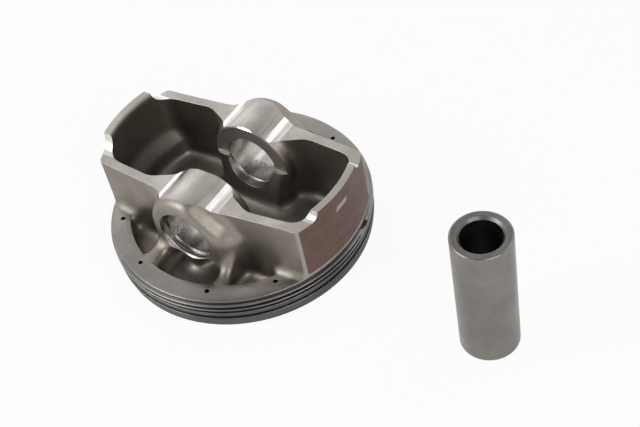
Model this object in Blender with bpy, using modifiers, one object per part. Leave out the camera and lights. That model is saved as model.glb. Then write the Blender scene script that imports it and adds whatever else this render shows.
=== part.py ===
"""Forged slipper-skirt piston with its ring set and wrist pin.

The piston lies crown down, as it stands on a bench: the crown face is z = 0,
the open end points up, the pin axis runs along Y and the coated thrust skirt
faces +X.  All lengths are in metres.
"""

import math

import bmesh
import bpy
from mathutils import Matrix, Vector

# Driving dimensions of the cylinder and of the crown
CYLINDER_BORE = 0.1048
LAND_CLEARANCE = 0.0005
SKIRT_CLEARANCE = 0.0001
CROWN_THICKNESS = 0.0070
CROWN_CHAMFER = 0.0005
BELT_HEIGHT = 0.0149
LEDGE_WIDTH = 0.0075
BELT_FILLET = 0.0022
LEDGE_CHAMFER_WIDTH = 0.0019
LEDGE_CHAMFER_HEIGHT = 0.0007

# Ring grooves, counted from the crown face
TOP_LAND = 0.0036
SECOND_LAND = 0.0016
THIRD_LAND = 0.0015
RING_HEIGHT = 0.0012
RING_WIDTH = 0.0038
RING_SIDE_GAP = 0.00015
RING_BACK_GAP = 0.0005
RING_SPRING_OUT = 0.0002
RING_END_GAP = 0.0050
RING_EDGE = 0.00015
RAIL_HEIGHT = 0.0006
RAIL_WIDTH = 0.0031
RAIL_SPRING_OUT = 0.0006
OIL_RING_HEIGHT = 0.0028
OIL_GROOVE_DEPTH = 0.0051
EXPANDER_INSET = 0.0007
EXPANDER_BAND = 0.0013
EXPANDER_TEETH = 56

# Skirts and the four side walls
SKIRT_HEIGHT = 0.0430
SKIRT_FOOT_RISE = 0.0002
SKIRT_WALL = 0.0035
SKIRT_HALF_ANGLE = math.radians(24.5)
SKIRT_RIM_HALF_WIDTH = 0.0130
WALL_DROP = 0.0050
WALL_THICKNESS = 0.0037
WALL_MIDDLE = 0.0253
WALL_STRAIGHT = 0.0140
WALL_CORNER = 0.0060
EDGE_FLAT_X = 0.0009
EDGE_FLAT_Y = 0.0008
GUSSET_START = 0.0230
GUSSET_END = 0.0165
GUSSET_DEPTH = 0.0040
SKIRT_ROOT_RISE = 0.0005
SKIRT_ROOT_HIGH = 0.0220

# Pin bosses
PIN_AXIS_HEIGHT = 0.0250
PIN_DIAMETER = 0.0220
PIN_LENGTH = 0.0559
PIN_BORE = 0.0150
PIN_MOUTH = 0.0010
PIN_CHAMFER = 0.0006
PIN_FIT = 0.00002
BOSS_RADIUS = 0.0173
BOSS_INNER_FACE = 0.0123
BOSS_OUTER_FACE = 0.0330
BOSS_EDGE = 0.0008
NOSE_START = 0.0275
SADDLE_FILLET = 0.0060
NOSE_LIP = 0.0014
SLEEVE_WALL = 0.0016
SLEEVE_SWEEP = math.radians(36.0)
MOUTH_CHAMFER = 0.0009
LOCK_WIRE = 0.0018
LOCK_DEPTH = 0.0009
LOCK_INSET = 0.0020
BOSS_ROOT_HALF_WIDTH = 0.0160
BOSS_ROOT_ROUND = 0.0060
BOSS_ROOT_STEP = 0.0012
BOSS_ROOT_SLOPE = 0.25

# Struts that stand on the ledge and carry the outer end of each boss
LEFT_STRUT_INNER = 0.0102
LEFT_STRUT_WIDTH = 0.0068
RIGHT_STRUT_INNER = 0.0150
RIGHT_STRUT_WIDTH = 0.0048
STRUT_STAND = 0.0288
STRUT_TOP = 0.0270
STRUT_SHOULDER = 0.0215
STRUT_FOOT_INSET = 0.0056
STRUT_FOOT_FILLET = 0.0050
STRUT_ANKLE = 0.4
RECESS_FLOOR = 0.0082
RECESS_ROUND = 0.0025

# Oil drain holes in the ledge
DRAIN_DIAMETER = 0.0019
DRAIN_INSET = 0.0046
DRAIN_ANGLES = (38.0, 70.0, 110.0, 142.0, 218.0, 250.0, 290.0, 322.0)

# Valve pockets in the crown, a larger pair and a smaller pair
POCKET_DEPTH = 0.0016
POCKET_TILT = math.radians(5.0)
INTAKE_POCKET_RADIUS = 0.0178
EXHAUST_POCKET_RADIUS = 0.0152
POCKET_EDGE = 0.0047
POCKET_ANGLE = math.radians(43.0)

# Where the loose wrist pin stands
PIN_PLACE_X = 0.1145
PIN_PLACE_Y = -0.0071

# Smoothness of round shapes
BODY_STEPS = 96
BORE_STEPS = 48
RING_STEPS = 72
PIN_STEPS = 56
ARC_STEP = math.radians(7.5)
FILLET_STEP = math.radians(22.5)

# Sizes that follow from the driving ones
CYLINDER_RADIUS = CYLINDER_BORE / 2
LAND_RADIUS = CYLINDER_RADIUS - LAND_CLEARANCE
SKIRT_RADIUS = CYLINDER_RADIUS - SKIRT_CLEARANCE
STOCK_RADIUS = CYLINDER_RADIUS + 0.0016
RING_GROOVE = RING_HEIGHT + 2 * RING_SIDE_GAP
OIL_GROOVE = OIL_RING_HEIGHT + 2 * RING_SIDE_GAP
TOP_GROOVE_LOW = TOP_LAND
SECOND_GROOVE_LOW = TOP_GROOVE_LOW + RING_GROOVE + SECOND_LAND
OIL_GROOVE_LOW = SECOND_GROOVE_LOW + RING_GROOVE + THIRD_LAND
RING_INNER = CYLINDER_RADIUS - RING_WIDTH
GROOVE_ROOT = RING_INNER - RING_BACK_GAP
OIL_GROOVE_ROOT = LAND_RADIUS - OIL_GROOVE_DEPTH
SKIRT_ROOT_LOW = OIL_GROOVE_LOW + OIL_GROOVE + SKIRT_ROOT_RISE
EXPANDER_INNER = OIL_GROOVE_ROOT + RING_BACK_GAP
PIN_BORE_RADIUS = PIN_DIAMETER / 2 + PIN_FIT
SKIRT_INNER = SKIRT_RADIUS - SKIRT_WALL
LEDGE_RADIUS = LAND_RADIUS - LEDGE_CHAMFER_WIDTH
BELT_WALL_RADIUS = LAND_RADIUS - LEDGE_WIDTH
DRAIN_CIRCLE = LAND_RADIUS - DRAIN_INSET
STRUT_FOOT_REACH = LAND_RADIUS - STRUT_FOOT_INSET
LEFT_STRUT = (-LEFT_STRUT_INNER - LEFT_STRUT_WIDTH, -LEFT_STRUT_INNER)
RIGHT_STRUT = (RIGHT_STRUT_INNER, RIGHT_STRUT_INNER + RIGHT_STRUT_WIDTH)
SKIRT_CORNER_X = SKIRT_RADIUS * math.cos(SKIRT_HALF_ANGLE)
SKIRT_CORNER_Y = SKIRT_RADIUS * math.sin(SKIRT_HALF_ANGLE)
WALL_END_X = SKIRT_CORNER_X - EDGE_FLAT_X
WALL_END_Y = SKIRT_CORNER_Y + EDGE_FLAT_Y
WALL_HEIGHT = SKIRT_HEIGHT - WALL_DROP
SKIRT_FOOT = BELT_HEIGHT - LEDGE_CHAMFER_HEIGHT + SKIRT_FOOT_RISE
CLEAR = 0.0100
OVERLAP = 0.0010


def make_collection(name):
    """Add an empty collection to the scene."""
    collection = bpy.data.collections.new(name)
    bpy.context.scene.collection.children.link(collection)
    return collection


def make_material(name, colour, roughness, metallic):
    """Make one Principled material."""
    material = bpy.data.materials.new(name)
    material.use_nodes = True
    shader = material.node_tree.nodes["Principled BSDF"]
    shader.inputs["Base Color"].default_value = (*colour, 1.0)
    shader.inputs["Roughness"].default_value = roughness
    shader.inputs["Metallic"].default_value = metallic
    material.diffuse_color = (*colour, 1.0)
    return material


def weld(mesh):
    """Merge the doubles of a mesh and turn its faces outwards."""
    work = bmesh.new()
    work.from_mesh(mesh)
    bmesh.ops.remove_doubles(work, verts=work.verts, dist=0.000002)
    bmesh.ops.recalc_face_normals(work, faces=work.faces)
    work.to_mesh(mesh)
    work.free()


def mesh_from(source, collection):
    """Turn a curve or modified object into a plain mesh object in a collection."""
    graph = bpy.context.evaluated_depsgraph_get()
    mesh = bpy.data.meshes.new_from_object(source.evaluated_get(graph))
    mesh.transform(source.matrix_world)
    name = source.name
    data = source.data
    bpy.data.objects.remove(source)
    if isinstance(data, bpy.types.Curve):
        bpy.data.curves.remove(data)
    weld(mesh)
    solid = bpy.data.objects.new(name, mesh)
    collection.objects.link(solid)
    return solid


def arc(centre, radius, start, end, step=ARC_STEP):
    """Points along an arc, both ends included."""
    count = max(2, math.ceil(abs(end - start) / step))
    angles = [start + (end - start) * index / count for index in range(count + 1)]
    return [(centre[0] + radius * math.cos(a), centre[1] + radius * math.sin(a)) for a in angles]


def rounded(corners):
    """Round the corners of an outline given as (x, y, radius)."""
    outline = []
    count = len(corners)
    for index, (x, y, radius) in enumerate(corners):
        if radius <= 0:
            outline.append((x, y))
            continue
        here = Vector((x, y))
        back = (Vector(corners[index - 1][:2]) - here).normalized()
        ahead = (Vector(corners[(index + 1) % count][:2]) - here).normalized()
        half = back.angle(ahead) / 2
        tangent = radius / math.tan(half)
        centre = here + (back + ahead).normalized() * (radius / math.sin(half))
        first = here + back * tangent - centre
        last = here + ahead * tangent - centre
        start = math.atan2(first.y, first.x)
        turn = math.atan2(first.cross(last), first.dot(last))
        outline.extend(arc(centre, radius, start, start + turn))
    return outline


def prism(name, outlines, low, high, axis, collection):
    """Extrude closed flat outlines along an axis from low to high.

    The outline's two numbers are x, y along Z, x, z along Y, and y, z along X.
    An outline inside another is a hole.
    """
    curve = bpy.data.curves.new(name, "CURVE")
    curve.dimensions = "2D"
    curve.fill_mode = "BOTH"
    curve.extrude = (high - low) / 2
    for outline in outlines:
        spline = curve.splines.new("POLY")
        spline.points.add(len(outline) - 1)
        for point, place in zip(spline.points, outline):
            point.co = (place[0], place[1], 0.0, 1.0)
        spline.use_cyclic_u = True
    source = bpy.data.objects.new(name, curve)
    collection.objects.link(source)
    middle = (low + high) / 2
    if axis == "Z":
        turned = Matrix.Identity(4)
        shift = Vector((0, 0, middle))
    elif axis == "Y":
        turned = Matrix(((1, 0, 0, 0), (0, 0, -1, 0), (0, 1, 0, 0), (0, 0, 0, 1)))
        shift = Vector((0, middle, 0))
    else:
        turned = Matrix(((0, 0, 1, 0), (1, 0, 0, 0), (0, 1, 0, 0), (0, 0, 0, 1)))
        shift = Vector((middle, 0, 0))
    source.matrix_world = Matrix.Translation(shift) @ turned
    bpy.context.view_layer.update()
    return mesh_from(source, collection)


def lathe(name, profile, steps, closed, collection):
    """Turn a profile of (radius, height) points, outer side first and downwards."""
    mesh = bpy.data.meshes.new(name)
    points = [(radius, 0.0, height) for radius, height in profile]
    edges = [(index, index + 1) for index in range(len(points) - 1)]
    if closed:
        edges.append((len(points) - 1, 0))
    mesh.from_pydata(points, edges, [])
    source = bpy.data.objects.new(name, mesh)
    collection.objects.link(source)
    screw = source.modifiers.new("turn", "SCREW")
    screw.angle = 2 * math.pi
    screw.steps = steps
    screw.render_steps = steps
    screw.use_merge_vertices = True
    screw.merge_threshold = 0.000002
    bpy.context.view_layer.update()
    return mesh_from(source, collection)


def cylinder(name, radius, low, high, steps, collection, end_radius=None):
    """A cylinder or cone along Z."""
    mesh = bpy.data.meshes.new(name)
    work = bmesh.new()
    bmesh.ops.create_cone(
        work,
        cap_ends=True,
        segments=steps,
        radius1=radius,
        radius2=radius if end_radius is None else end_radius,
        depth=high - low,
        matrix=Matrix.Translation((0, 0, (low + high) / 2)),
    )
    work.to_mesh(mesh)
    work.free()
    solid = bpy.data.objects.new(name, mesh)
    collection.objects.link(solid)
    return solid


def place(solid, matrix):
    """Move a solid's mesh."""
    solid.data.transform(matrix)
    return solid


def along_pin(solid, side):
    """Lay a solid built on Z along the pin axis, towards side +1 or -1."""
    turn = Matrix.Rotation(-side * math.pi / 2, 4, "X")
    return place(solid, Matrix.Translation((0, 0, PIN_AXIS_HEIGHT)) @ turn)


def combine(target, tool, operation):
    """Join a tool to the target or cut it away, as a live Boolean."""
    tool.hide_render = True
    tool.display_type = "WIRE"
    modifier = target.modifiers.new(f"{operation.lower()} {tool.name}", "BOOLEAN")
    modifier.operation = operation
    modifier.solver = "EXACT"
    modifier.object = tool


def wall_line(x):
    """Outer face of a side wall: straight at the boss, drawn in towards the skirts."""
    share = max(0.0, abs(x) - WALL_STRAIGHT) / (WALL_END_X - WALL_STRAIGHT)
    return WALL_MIDDLE + (WALL_END_Y - WALL_MIDDLE) * share


def blank_profile():
    """Section of the forged crown and ring belt, before turning."""
    centre = (BELT_WALL_RADIUS - BELT_FILLET, CROWN_THICKNESS + BELT_FILLET)
    slope = LEDGE_CHAMFER_HEIGHT / LEDGE_CHAMFER_WIDTH
    return [
        (0.0, CROWN_THICKNESS),
        *arc(centre, BELT_FILLET, -math.pi / 2, 0.0, FILLET_STEP),
        (BELT_WALL_RADIUS, BELT_HEIGHT),
        (LEDGE_RADIUS, BELT_HEIGHT),
        (STOCK_RADIUS, BELT_HEIGHT - slope * (STOCK_RADIUS - LEDGE_RADIUS)),
        (STOCK_RADIUS, 0.0),
        (0.0, 0.0),
    ]


def turning_profile():
    """Section of the metal that turning takes off the outside, grooves included."""
    profile = [
        (STOCK_RADIUS + CLEAR, SKIRT_HEIGHT + CLEAR),
        (STOCK_RADIUS + CLEAR, -CLEAR),
        (LAND_RADIUS - CROWN_CHAMFER - CLEAR, -CLEAR),
        (LAND_RADIUS, CROWN_CHAMFER),
    ]
    grooves = (
        (TOP_GROOVE_LOW, RING_GROOVE, GROOVE_ROOT),
        (SECOND_GROOVE_LOW, RING_GROOVE, GROOVE_ROOT),
        (OIL_GROOVE_LOW, OIL_GROOVE, OIL_GROOVE_ROOT),
    )
    for low, height, root in grooves:
        profile.append((LAND_RADIUS, low))
        profile.append((root, low))
        profile.append((root, low + height))
        profile.append((LAND_RADIUS, low + height))
    profile.append((LAND_RADIUS, SKIRT_FOOT))
    profile.append((SKIRT_RADIUS, SKIRT_FOOT + SKIRT_RADIUS - LAND_RADIUS))
    profile.append((SKIRT_RADIUS, SKIRT_HEIGHT + CLEAR))
    return profile


def wall_outlines():
    """Plan of the skirts and side walls: the outer outline and the hollow inside it."""
    reach = SKIRT_HALF_ANGLE
    outer = []
    for side in (1, -1):
        middle = 0.0 if side > 0 else math.pi
        outer.extend(arc((0, 0), STOCK_RADIUS, middle - reach, middle + reach))
        half = [(SKIRT_CORNER_X, SKIRT_CORNER_Y), (WALL_END_X, WALL_END_Y), (WALL_STRAIGHT, WALL_MIDDLE)]
        outer.extend([(side * x, side * y) for x, y in half])
        outer.extend([(-side * x, side * y) for x, y in reversed(half)])
    inner = []
    inner_y = WALL_END_Y - WALL_THICKNESS
    corner_angle = math.asin(inner_y / SKIRT_INNER)
    corner_x = SKIRT_INNER * math.cos(corner_angle)
    for side in (1, -1):
        middle = 0.0 if side > 0 else math.pi
        swing = corner_angle * 0.62
        inner.extend([(x, y, 0.0) for x, y in arc((0, 0), SKIRT_INNER, middle - swing, middle + swing)])
        half = [
            (corner_x, wall_line(corner_x) - WALL_THICKNESS, WALL_CORNER),
            (GUSSET_START, wall_line(GUSSET_START) - WALL_THICKNESS, WALL_CORNER),
            (GUSSET_END, wall_line(GUSSET_END) - WALL_THICKNESS - GUSSET_DEPTH, WALL_CORNER / 2),
        ]
        inner.extend([(side * x, side * y, radius) for x, y, radius in half])
        inner.extend([(-side * x, side * y, radius) for x, y, radius in reversed(half)])
    return outer, rounded(inner)


def rim_profile():
    """What milling takes off the walls' tops, leaving a saddle that meets each boss."""
    rise = PIN_AXIS_HEIGHT
    centre_z = WALL_HEIGHT + SADDLE_FILLET
    reach = BOSS_RADIUS + SADDLE_FILLET
    centre_x = math.sqrt(reach**2 - (centre_z - rise) ** 2)
    contact = math.atan2(centre_z - rise, centre_x)
    fillet = arc((centre_x, centre_z), SADDLE_FILLET, contact - math.pi, -math.pi / 2)
    far = STOCK_RADIUS + CLEAR
    top = SKIRT_HEIGHT + CLEAR
    left = [(-x, z) for x, z in reversed(fillet)]
    return [(-far, top), (-far, WALL_HEIGHT), *left, *fillet, (far, WALL_HEIGHT), (far, top)]


def skirt_root_profile():
    """Section of the slope that carries a skirt's inner face down to the belt."""
    return [
        (SKIRT_INNER + OVERLAP, SKIRT_ROOT_HIGH),
        (SKIRT_INNER + OVERLAP, SKIRT_ROOT_LOW),
        (BELT_WALL_RADIUS - OVERLAP / 4, SKIRT_ROOT_LOW),
        (SKIRT_INNER - OVERLAP / 4, SKIRT_ROOT_HIGH),
    ]


def build_body(parts, blocks, cutters):
    """The forged body: forged blocks are joined and machined in turn."""
    body = lathe("piston_body", blank_profile(), BODY_STEPS, False, parts)

    outer, inner = wall_outlines()
    shell = prism("walls_and_skirts", [outer, inner], CROWN_THICKNESS - OVERLAP, SKIRT_HEIGHT, "Z", blocks)
    combine(body, shell, "UNION")
    combine(body, skirt_root(blocks), "UNION")
    turning = lathe("turning", turning_profile(), BODY_STEPS, True, cutters)
    combine(body, turning, "DIFFERENCE")
    for side in (1, -1):
        for tool in rim_cutters(side, cutters):
            combine(body, tool, "DIFFERENCE")
        for tool in boss_blocks(side, blocks):
            combine(body, tool, "UNION")
        for tool in boss_cutters(side, cutters):
            combine(body, tool, "DIFFERENCE")

    far = BOSS_OUTER_FACE + CLEAR
    bore = cylinder("pin_bore", PIN_BORE_RADIUS, -far, far, BORE_STEPS, cutters)
    combine(body, along_pin(bore, 1), "DIFFERENCE")
    for tool in drain_cutters(cutters):
        combine(body, tool, "DIFFERENCE")
    for tool in pocket_cutters(cutters):
        combine(body, tool, "DIFFERENCE")
    return body


def skirt_root(blocks):
    """The slopes behind the two skirts, cut from a hoop by the width of the hollow."""
    hoop = lathe("skirt_root", skirt_root_profile(), BODY_STEPS, True, blocks)
    half = wall_line(SKIRT_INNER) - WALL_THICKNESS / 2
    far = STOCK_RADIUS
    outline = [(-far, -half), (far, -half), (far, half), (-far, half)]
    width = prism("skirt_root_width", [outline], 0.0, SKIRT_HEIGHT, "Z", blocks)
    combine(hoop, width, "INTERSECT")
    hoop.hide_render = True
    hoop.display_type = "WIRE"
    return hoop


def boss_profile():
    """Section of one pin boss: chamfered inside, rounded to a lip at its outer end."""
    reach = BOSS_OUTER_FACE - NOSE_START
    lip = PIN_BORE_RADIUS + NOSE_LIP
    drop = BOSS_RADIUS - lip
    nose = arc((0, 0), 1.0, math.pi / 2, 0.0, FILLET_STEP)
    return [
        (0.0, BOSS_OUTER_FACE),
        *[(lip + drop * x, NOSE_START + reach * y) for x, y in nose],
        (BOSS_RADIUS, BOSS_INNER_FACE + BOSS_EDGE),
        (BOSS_RADIUS - BOSS_EDGE, BOSS_INNER_FACE),
        (0.0, BOSS_INNER_FACE),
    ]


def boss_root(side, tag, blocks):
    """The pillar under a boss: rounded in plan, its face sloping out to the crown."""
    inside = WALL_MIDDLE - WALL_THICKNESS / 2
    low = CROWN_THICKNESS - OVERLAP
    face = BOSS_INNER_FACE - BOSS_ROOT_STEP
    toe = face - BOSS_ROOT_SLOPE * (PIN_AXIS_HEIGHT - low)
    half = BOSS_ROOT_HALF_WIDTH
    plan = [
        (-half, side * inside, 0.0),
        (-half, side * toe, BOSS_ROOT_ROUND),
        (half, side * toe, BOSS_ROOT_ROUND),
        (half, side * inside, 0.0),
    ]
    pillar = prism(f"{tag}_root", [rounded(plan)], low, PIN_AXIS_HEIGHT, "Z", blocks)
    slope = [
        (side * (toe - CLEAR), low - CLEAR),
        (side * (toe - BOSS_ROOT_SLOPE * CLEAR), low - CLEAR),
        (side * (face + BOSS_ROOT_SLOPE * CLEAR), PIN_AXIS_HEIGHT + CLEAR),
        (side * (toe - CLEAR), PIN_AXIS_HEIGHT + CLEAR),
    ]
    far = half + CLEAR
    combine(pillar, prism(f"{tag}_root_slope", [slope], -far, far, "X", blocks), "DIFFERENCE")
    pillar.hide_render = True
    pillar.display_type = "WIRE"
    return pillar


def boss_blocks(side, blocks):
    """The boss, its pillar on the crown and the struts under its outer end."""
    tag = "far" if side > 0 else "near"
    inside = WALL_MIDDLE - WALL_THICKNESS / 2
    low = CROWN_THICKNESS - OVERLAP
    boss = lathe(f"{tag}_boss", boss_profile(), BORE_STEPS, False, blocks)
    made = [along_pin(boss, side), boss_root(side, tag, blocks)]
    for index, span in enumerate((LEFT_STRUT, RIGHT_STRUT)):
        middle = (span[0] + span[1]) / 2
        foot = math.sqrt(STRUT_FOOT_REACH**2 - middle**2)
        ankle = STRUT_STAND + (foot - STRUT_STAND) * STRUT_ANKLE
        widest = max(abs(span[0]), abs(span[1]))
        heel = math.sqrt(OIL_GROOVE_ROOT**2 - widest**2) - OVERLAP / 4
        strut = [
            (side * inside, low, 0.0),
            (side * heel, low, 0.0),
            (side * heel, BELT_HEIGHT - OVERLAP, 0.0),
            (side * foot, BELT_HEIGHT - OVERLAP, 0.0),
            (side * foot, BELT_HEIGHT, 0.0),
            (side * ankle, BELT_HEIGHT + OVERLAP / 2, STRUT_FOOT_FILLET),
            (side * STRUT_STAND, STRUT_SHOULDER, STRUT_FOOT_FILLET),
            (side * STRUT_STAND, STRUT_TOP, 0.0),
            (side * inside, STRUT_TOP, 0.0),
        ]
        made.append(prism(f"{tag}_strut_{index}", [rounded(strut)], *span, "X", blocks))
    return made


def boss_cutters(side, cutters):
    """Recess under the nose, chamfered mouth and lock-wire groove of one pin bore."""
    tag = "far" if side > 0 else "near"
    radius = PIN_BORE_RADIUS + SLEEVE_WALL
    sleeve = arc((0, PIN_AXIS_HEIGHT), radius, -SLEEVE_SWEEP, SLEEVE_SWEEP - math.pi)
    recess = [
        (LEFT_STRUT[1], RECESS_FLOOR, RECESS_ROUND),
        (RIGHT_STRUT[0], RECESS_FLOOR, RECESS_ROUND),
        *[(x, z, 0.0) for x, z in sleeve],
    ]
    ends = sorted((side * WALL_MIDDLE, side * (BELT_WALL_RADIUS - BELT_FILLET)))
    hollow = prism(f"{tag}_recess", [rounded(recess)], *ends, "Y", cutters)

    lip = PIN_BORE_RADIUS + MOUTH_CHAMFER
    start = BOSS_OUTER_FACE - MOUTH_CHAMFER
    end = BOSS_OUTER_FACE + OVERLAP
    mouth = cylinder(f"{tag}_mouth", PIN_BORE_RADIUS, start, end, BORE_STEPS, cutters, lip + OVERLAP)
    high = BOSS_OUTER_FACE - LOCK_INSET
    depth = PIN_BORE_RADIUS + LOCK_DEPTH
    groove = cylinder(f"{tag}_lock_groove", depth, high - LOCK_WIRE, high, BORE_STEPS, cutters)
    return [hollow, along_pin(mouth, side), along_pin(groove, side)]


def rim_cutters(side, cutters):
    """The milled wall rim on one side and the ramps up to one skirt's rim."""
    tag = "far" if side > 0 else "near"
    start = SKIRT_RIM_HALF_WIDTH + WALL_DROP
    ends = sorted((side * start, side * (STOCK_RADIUS + CLEAR)))
    ramp = arc((start, SKIRT_HEIGHT), WALL_DROP, math.pi, 1.5 * math.pi, FILLET_STEP)
    rim = prism(f"{tag}_rim_mill", [rim_profile()], *ends, "Y", cutters)
    far = STOCK_RADIUS + CLEAR
    top = SKIRT_HEIGHT + CLEAR
    ramps = []
    for hand in (1, -1):
        outline = [
            (hand * SKIRT_RIM_HALF_WIDTH, top),
            *[(hand * y, z) for y, z in ramp],
            (hand * far, WALL_HEIGHT),
            (hand * far, top),
        ]
        span = sorted((side * (SKIRT_INNER - CLEAR), side * far))
        ramps.append(prism(f"{tag}_ramp_{'a' if hand > 0 else 'b'}", [outline], *span, "X", cutters))
    return [rim, *ramps]


def drain_cutters(cutters):
    """Drilled holes from the ledge down into the oil groove."""
    made = []
    for index, degrees in enumerate(DRAIN_ANGLES):
        angle = math.radians(degrees)
        low = OIL_GROOVE_LOW + OIL_GROOVE / 2
        hole = cylinder(f"drain_{index}", DRAIN_DIAMETER / 2, low, BELT_HEIGHT + OVERLAP, 12, cutters)
        shift = (DRAIN_CIRCLE * math.cos(angle), DRAIN_CIRCLE * math.sin(angle), 0)
        made.append(place(hole, Matrix.Translation(shift)))
    return made


def pocket_cutters(cutters):
    """Tilted discs that sink the valve pockets into the crown."""
    made = []
    for hand, radius in ((-1, INTAKE_POCKET_RADIUS), (1, EXHAUST_POCKET_RADIUS)):
        away = LAND_RADIUS - POCKET_EDGE - radius
        for side in (1, -1):
            name = f"pocket_{'in' if hand < 0 else 'out'}_{'far' if side > 0 else 'near'}"
            disc = cylinder(name, radius, -CLEAR, POCKET_DEPTH, BORE_STEPS, cutters)
            tilt = Matrix.Rotation(hand * POCKET_TILT, 4, "Y")
            centre = (hand * away * math.cos(POCKET_ANGLE), side * away * math.sin(POCKET_ANGLE), 0)
            made.append(place(disc, Matrix.Translation(centre) @ tilt))
    return made


def ring_section(inner, outer, low, high):
    """Section of a piston ring with its edges broken."""
    edge = min(RING_EDGE, (high - low) / 4)
    return [
        (outer - edge, high),
        (outer, high - edge),
        (outer, low + edge),
        (outer - edge, low),
        (inner, low),
        (inner, high),
    ]


def build_ring(name, section, gap_angle, gap, parts, cutters):
    """A split ring: a turned hoop with its end gap sawn through."""
    ring = lathe(name, section, RING_STEPS, True, parts)
    inner = min(point[0] for point in section)
    outer = max(point[0] for point in section)
    low = min(point[1] for point in section) - OVERLAP
    high = max(point[1] for point in section) + OVERLAP
    saw_outline = [
        (inner - OVERLAP, -gap / 2),
        (outer + OVERLAP, -gap / 2),
        (outer + OVERLAP, gap / 2),
        (inner - OVERLAP, gap / 2),
    ]
    saw = prism(f"{name}_saw", [saw_outline], low, high, "Z", cutters)
    place(saw, Matrix.Rotation(math.radians(gap_angle), 4, "Z"))
    combine(ring, saw, "DIFFERENCE")
    return ring


def build_expander(parts):
    """The toothed band that carries the two oil rails apart."""
    low = OIL_GROOVE_LOW + 2 * RING_SIDE_GAP + RAIL_HEIGHT
    high = OIL_GROOVE_LOW + OIL_GROOVE - 2 * RING_SIDE_GAP - RAIL_HEIGHT
    tip = LAND_RADIUS - EXPANDER_INSET
    valley = EXPANDER_INNER + EXPANDER_BAND
    pitch = 2 * math.pi / EXPANDER_TEETH
    outer = []
    for index in range(EXPANDER_TEETH):
        start = index * pitch
        for radius, share in ((valley, 0.0), (tip, 0.08), (tip, 0.52), (valley, 0.60)):
            angle = start + share * pitch
            outer.append((radius * math.cos(angle), radius * math.sin(angle)))
    inner = arc((0, 0), EXPANDER_INNER, 0.0, 2 * math.pi)[:-1]
    return prism("oil_expander", [outer, inner], low, high, "Z", parts)


def build_rings(parts, cutters):
    """Two compression rings, two oil rails and the expander between them."""
    outer = CYLINDER_RADIUS + RING_SPRING_OUT
    inner = RING_INNER + RING_SPRING_OUT
    low = TOP_GROOVE_LOW + RING_SIDE_GAP
    section = ring_section(inner, outer, low, low + RING_HEIGHT)
    made = {"top_ring": build_ring("top_ring", section, 128.0, RING_END_GAP, parts, cutters)}
    low = SECOND_GROOVE_LOW + RING_SIDE_GAP
    section = ring_section(inner, outer, low, low + RING_HEIGHT)
    made["second_ring"] = build_ring("second_ring", section, 196.0, RING_END_GAP, parts, cutters)
    outer = CYLINDER_RADIUS + RAIL_SPRING_OUT
    inner = outer - RAIL_WIDTH
    low = OIL_GROOVE_LOW + RING_SIDE_GAP
    section = ring_section(inner, outer, low, low + RAIL_HEIGHT)
    made["oil_rail_lower"] = build_ring("oil_rail_lower", section, 76.0, RING_END_GAP, parts, cutters)
    low = OIL_GROOVE_LOW + OIL_GROOVE - RING_SIDE_GAP - RAIL_HEIGHT
    section = ring_section(inner, outer, low, low + RAIL_HEIGHT)
    made["oil_rail_upper"] = build_ring("oil_rail_upper", section, 12.0, RING_END_GAP, parts, cutters)
    made["oil_expander"] = build_expander(parts)
    return made


def build_pin(parts):
    """The hollow wrist pin, standing on its end beside the piston."""
    outer = PIN_DIAMETER / 2
    bore = PIN_BORE / 2
    section = [
        (outer - PIN_CHAMFER, PIN_LENGTH),
        (outer, PIN_LENGTH - PIN_CHAMFER),
        (outer, PIN_CHAMFER),
        (outer - PIN_CHAMFER, 0.0),
        (bore + PIN_MOUTH, 0.0),
        (bore, PIN_MOUTH),
        (bore, PIN_LENGTH - PIN_MOUTH),
        (bore + PIN_MOUTH, PIN_LENGTH),
    ]
    pin = lathe("wrist_pin", section, PIN_STEPS, True, parts)
    pin.location = (PIN_PLACE_X, PIN_PLACE_Y, 0.0)
    return pin


def main():
    """Build every piece and give it its material."""
    for item in list(bpy.data.objects):
        bpy.data.objects.remove(item)
    parts = make_collection("piston")
    blocks = make_collection("forging blocks")
    cutters = make_collection("cutters")

    body = build_body(parts, blocks, cutters)
    rings = build_rings(parts, cutters)
    pin = build_pin(parts)

    finishes = {
        body: make_material("forged aluminium", (0.46, 0.44, 0.42), 0.38, 0.9),
        rings["top_ring"]: make_material("nitrided steel", (0.16, 0.16, 0.17), 0.35, 1.0),
        rings["second_ring"]: make_material("phosphated iron", (0.20, 0.20, 0.20), 0.45, 1.0),
        rings["oil_rail_upper"]: make_material("upper rail steel", (0.34, 0.34, 0.34), 0.32, 1.0),
        rings["oil_rail_lower"]: make_material("lower rail steel", (0.34, 0.34, 0.34), 0.32, 1.0),
        rings["oil_expander"]: make_material("spring steel", (0.30, 0.29, 0.28), 0.35, 1.0),
        pin: make_material("ground pin steel", (0.24, 0.23, 0.23), 0.30, 1.0),
    }
    for solid, finish in finishes.items():
        solid.data.materials.clear()
        solid.data.materials.append(finish)
        solid.data.shade_smooth()
        solid.data.set_sharp_from_angle(angle=math.radians(30))


main()
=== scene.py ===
"""A forged slipper-skirt piston lies crown down on a pale bench, with its rings fitted.

Its hollow wrist pin stands beside it.  The body is made as the real one is: forged
blocks are joined and their corners flow into fillets, and then the milling, turning
and boring cuts give it crisp edges.  All lengths are in metres.
"""

from __future__ import annotations

import logging
import math
from dataclasses import dataclass
from enum import Enum
from typing import Callable, Iterable, Sequence

import bmesh
import bpy
from mathutils import Matrix, Vector


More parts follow.
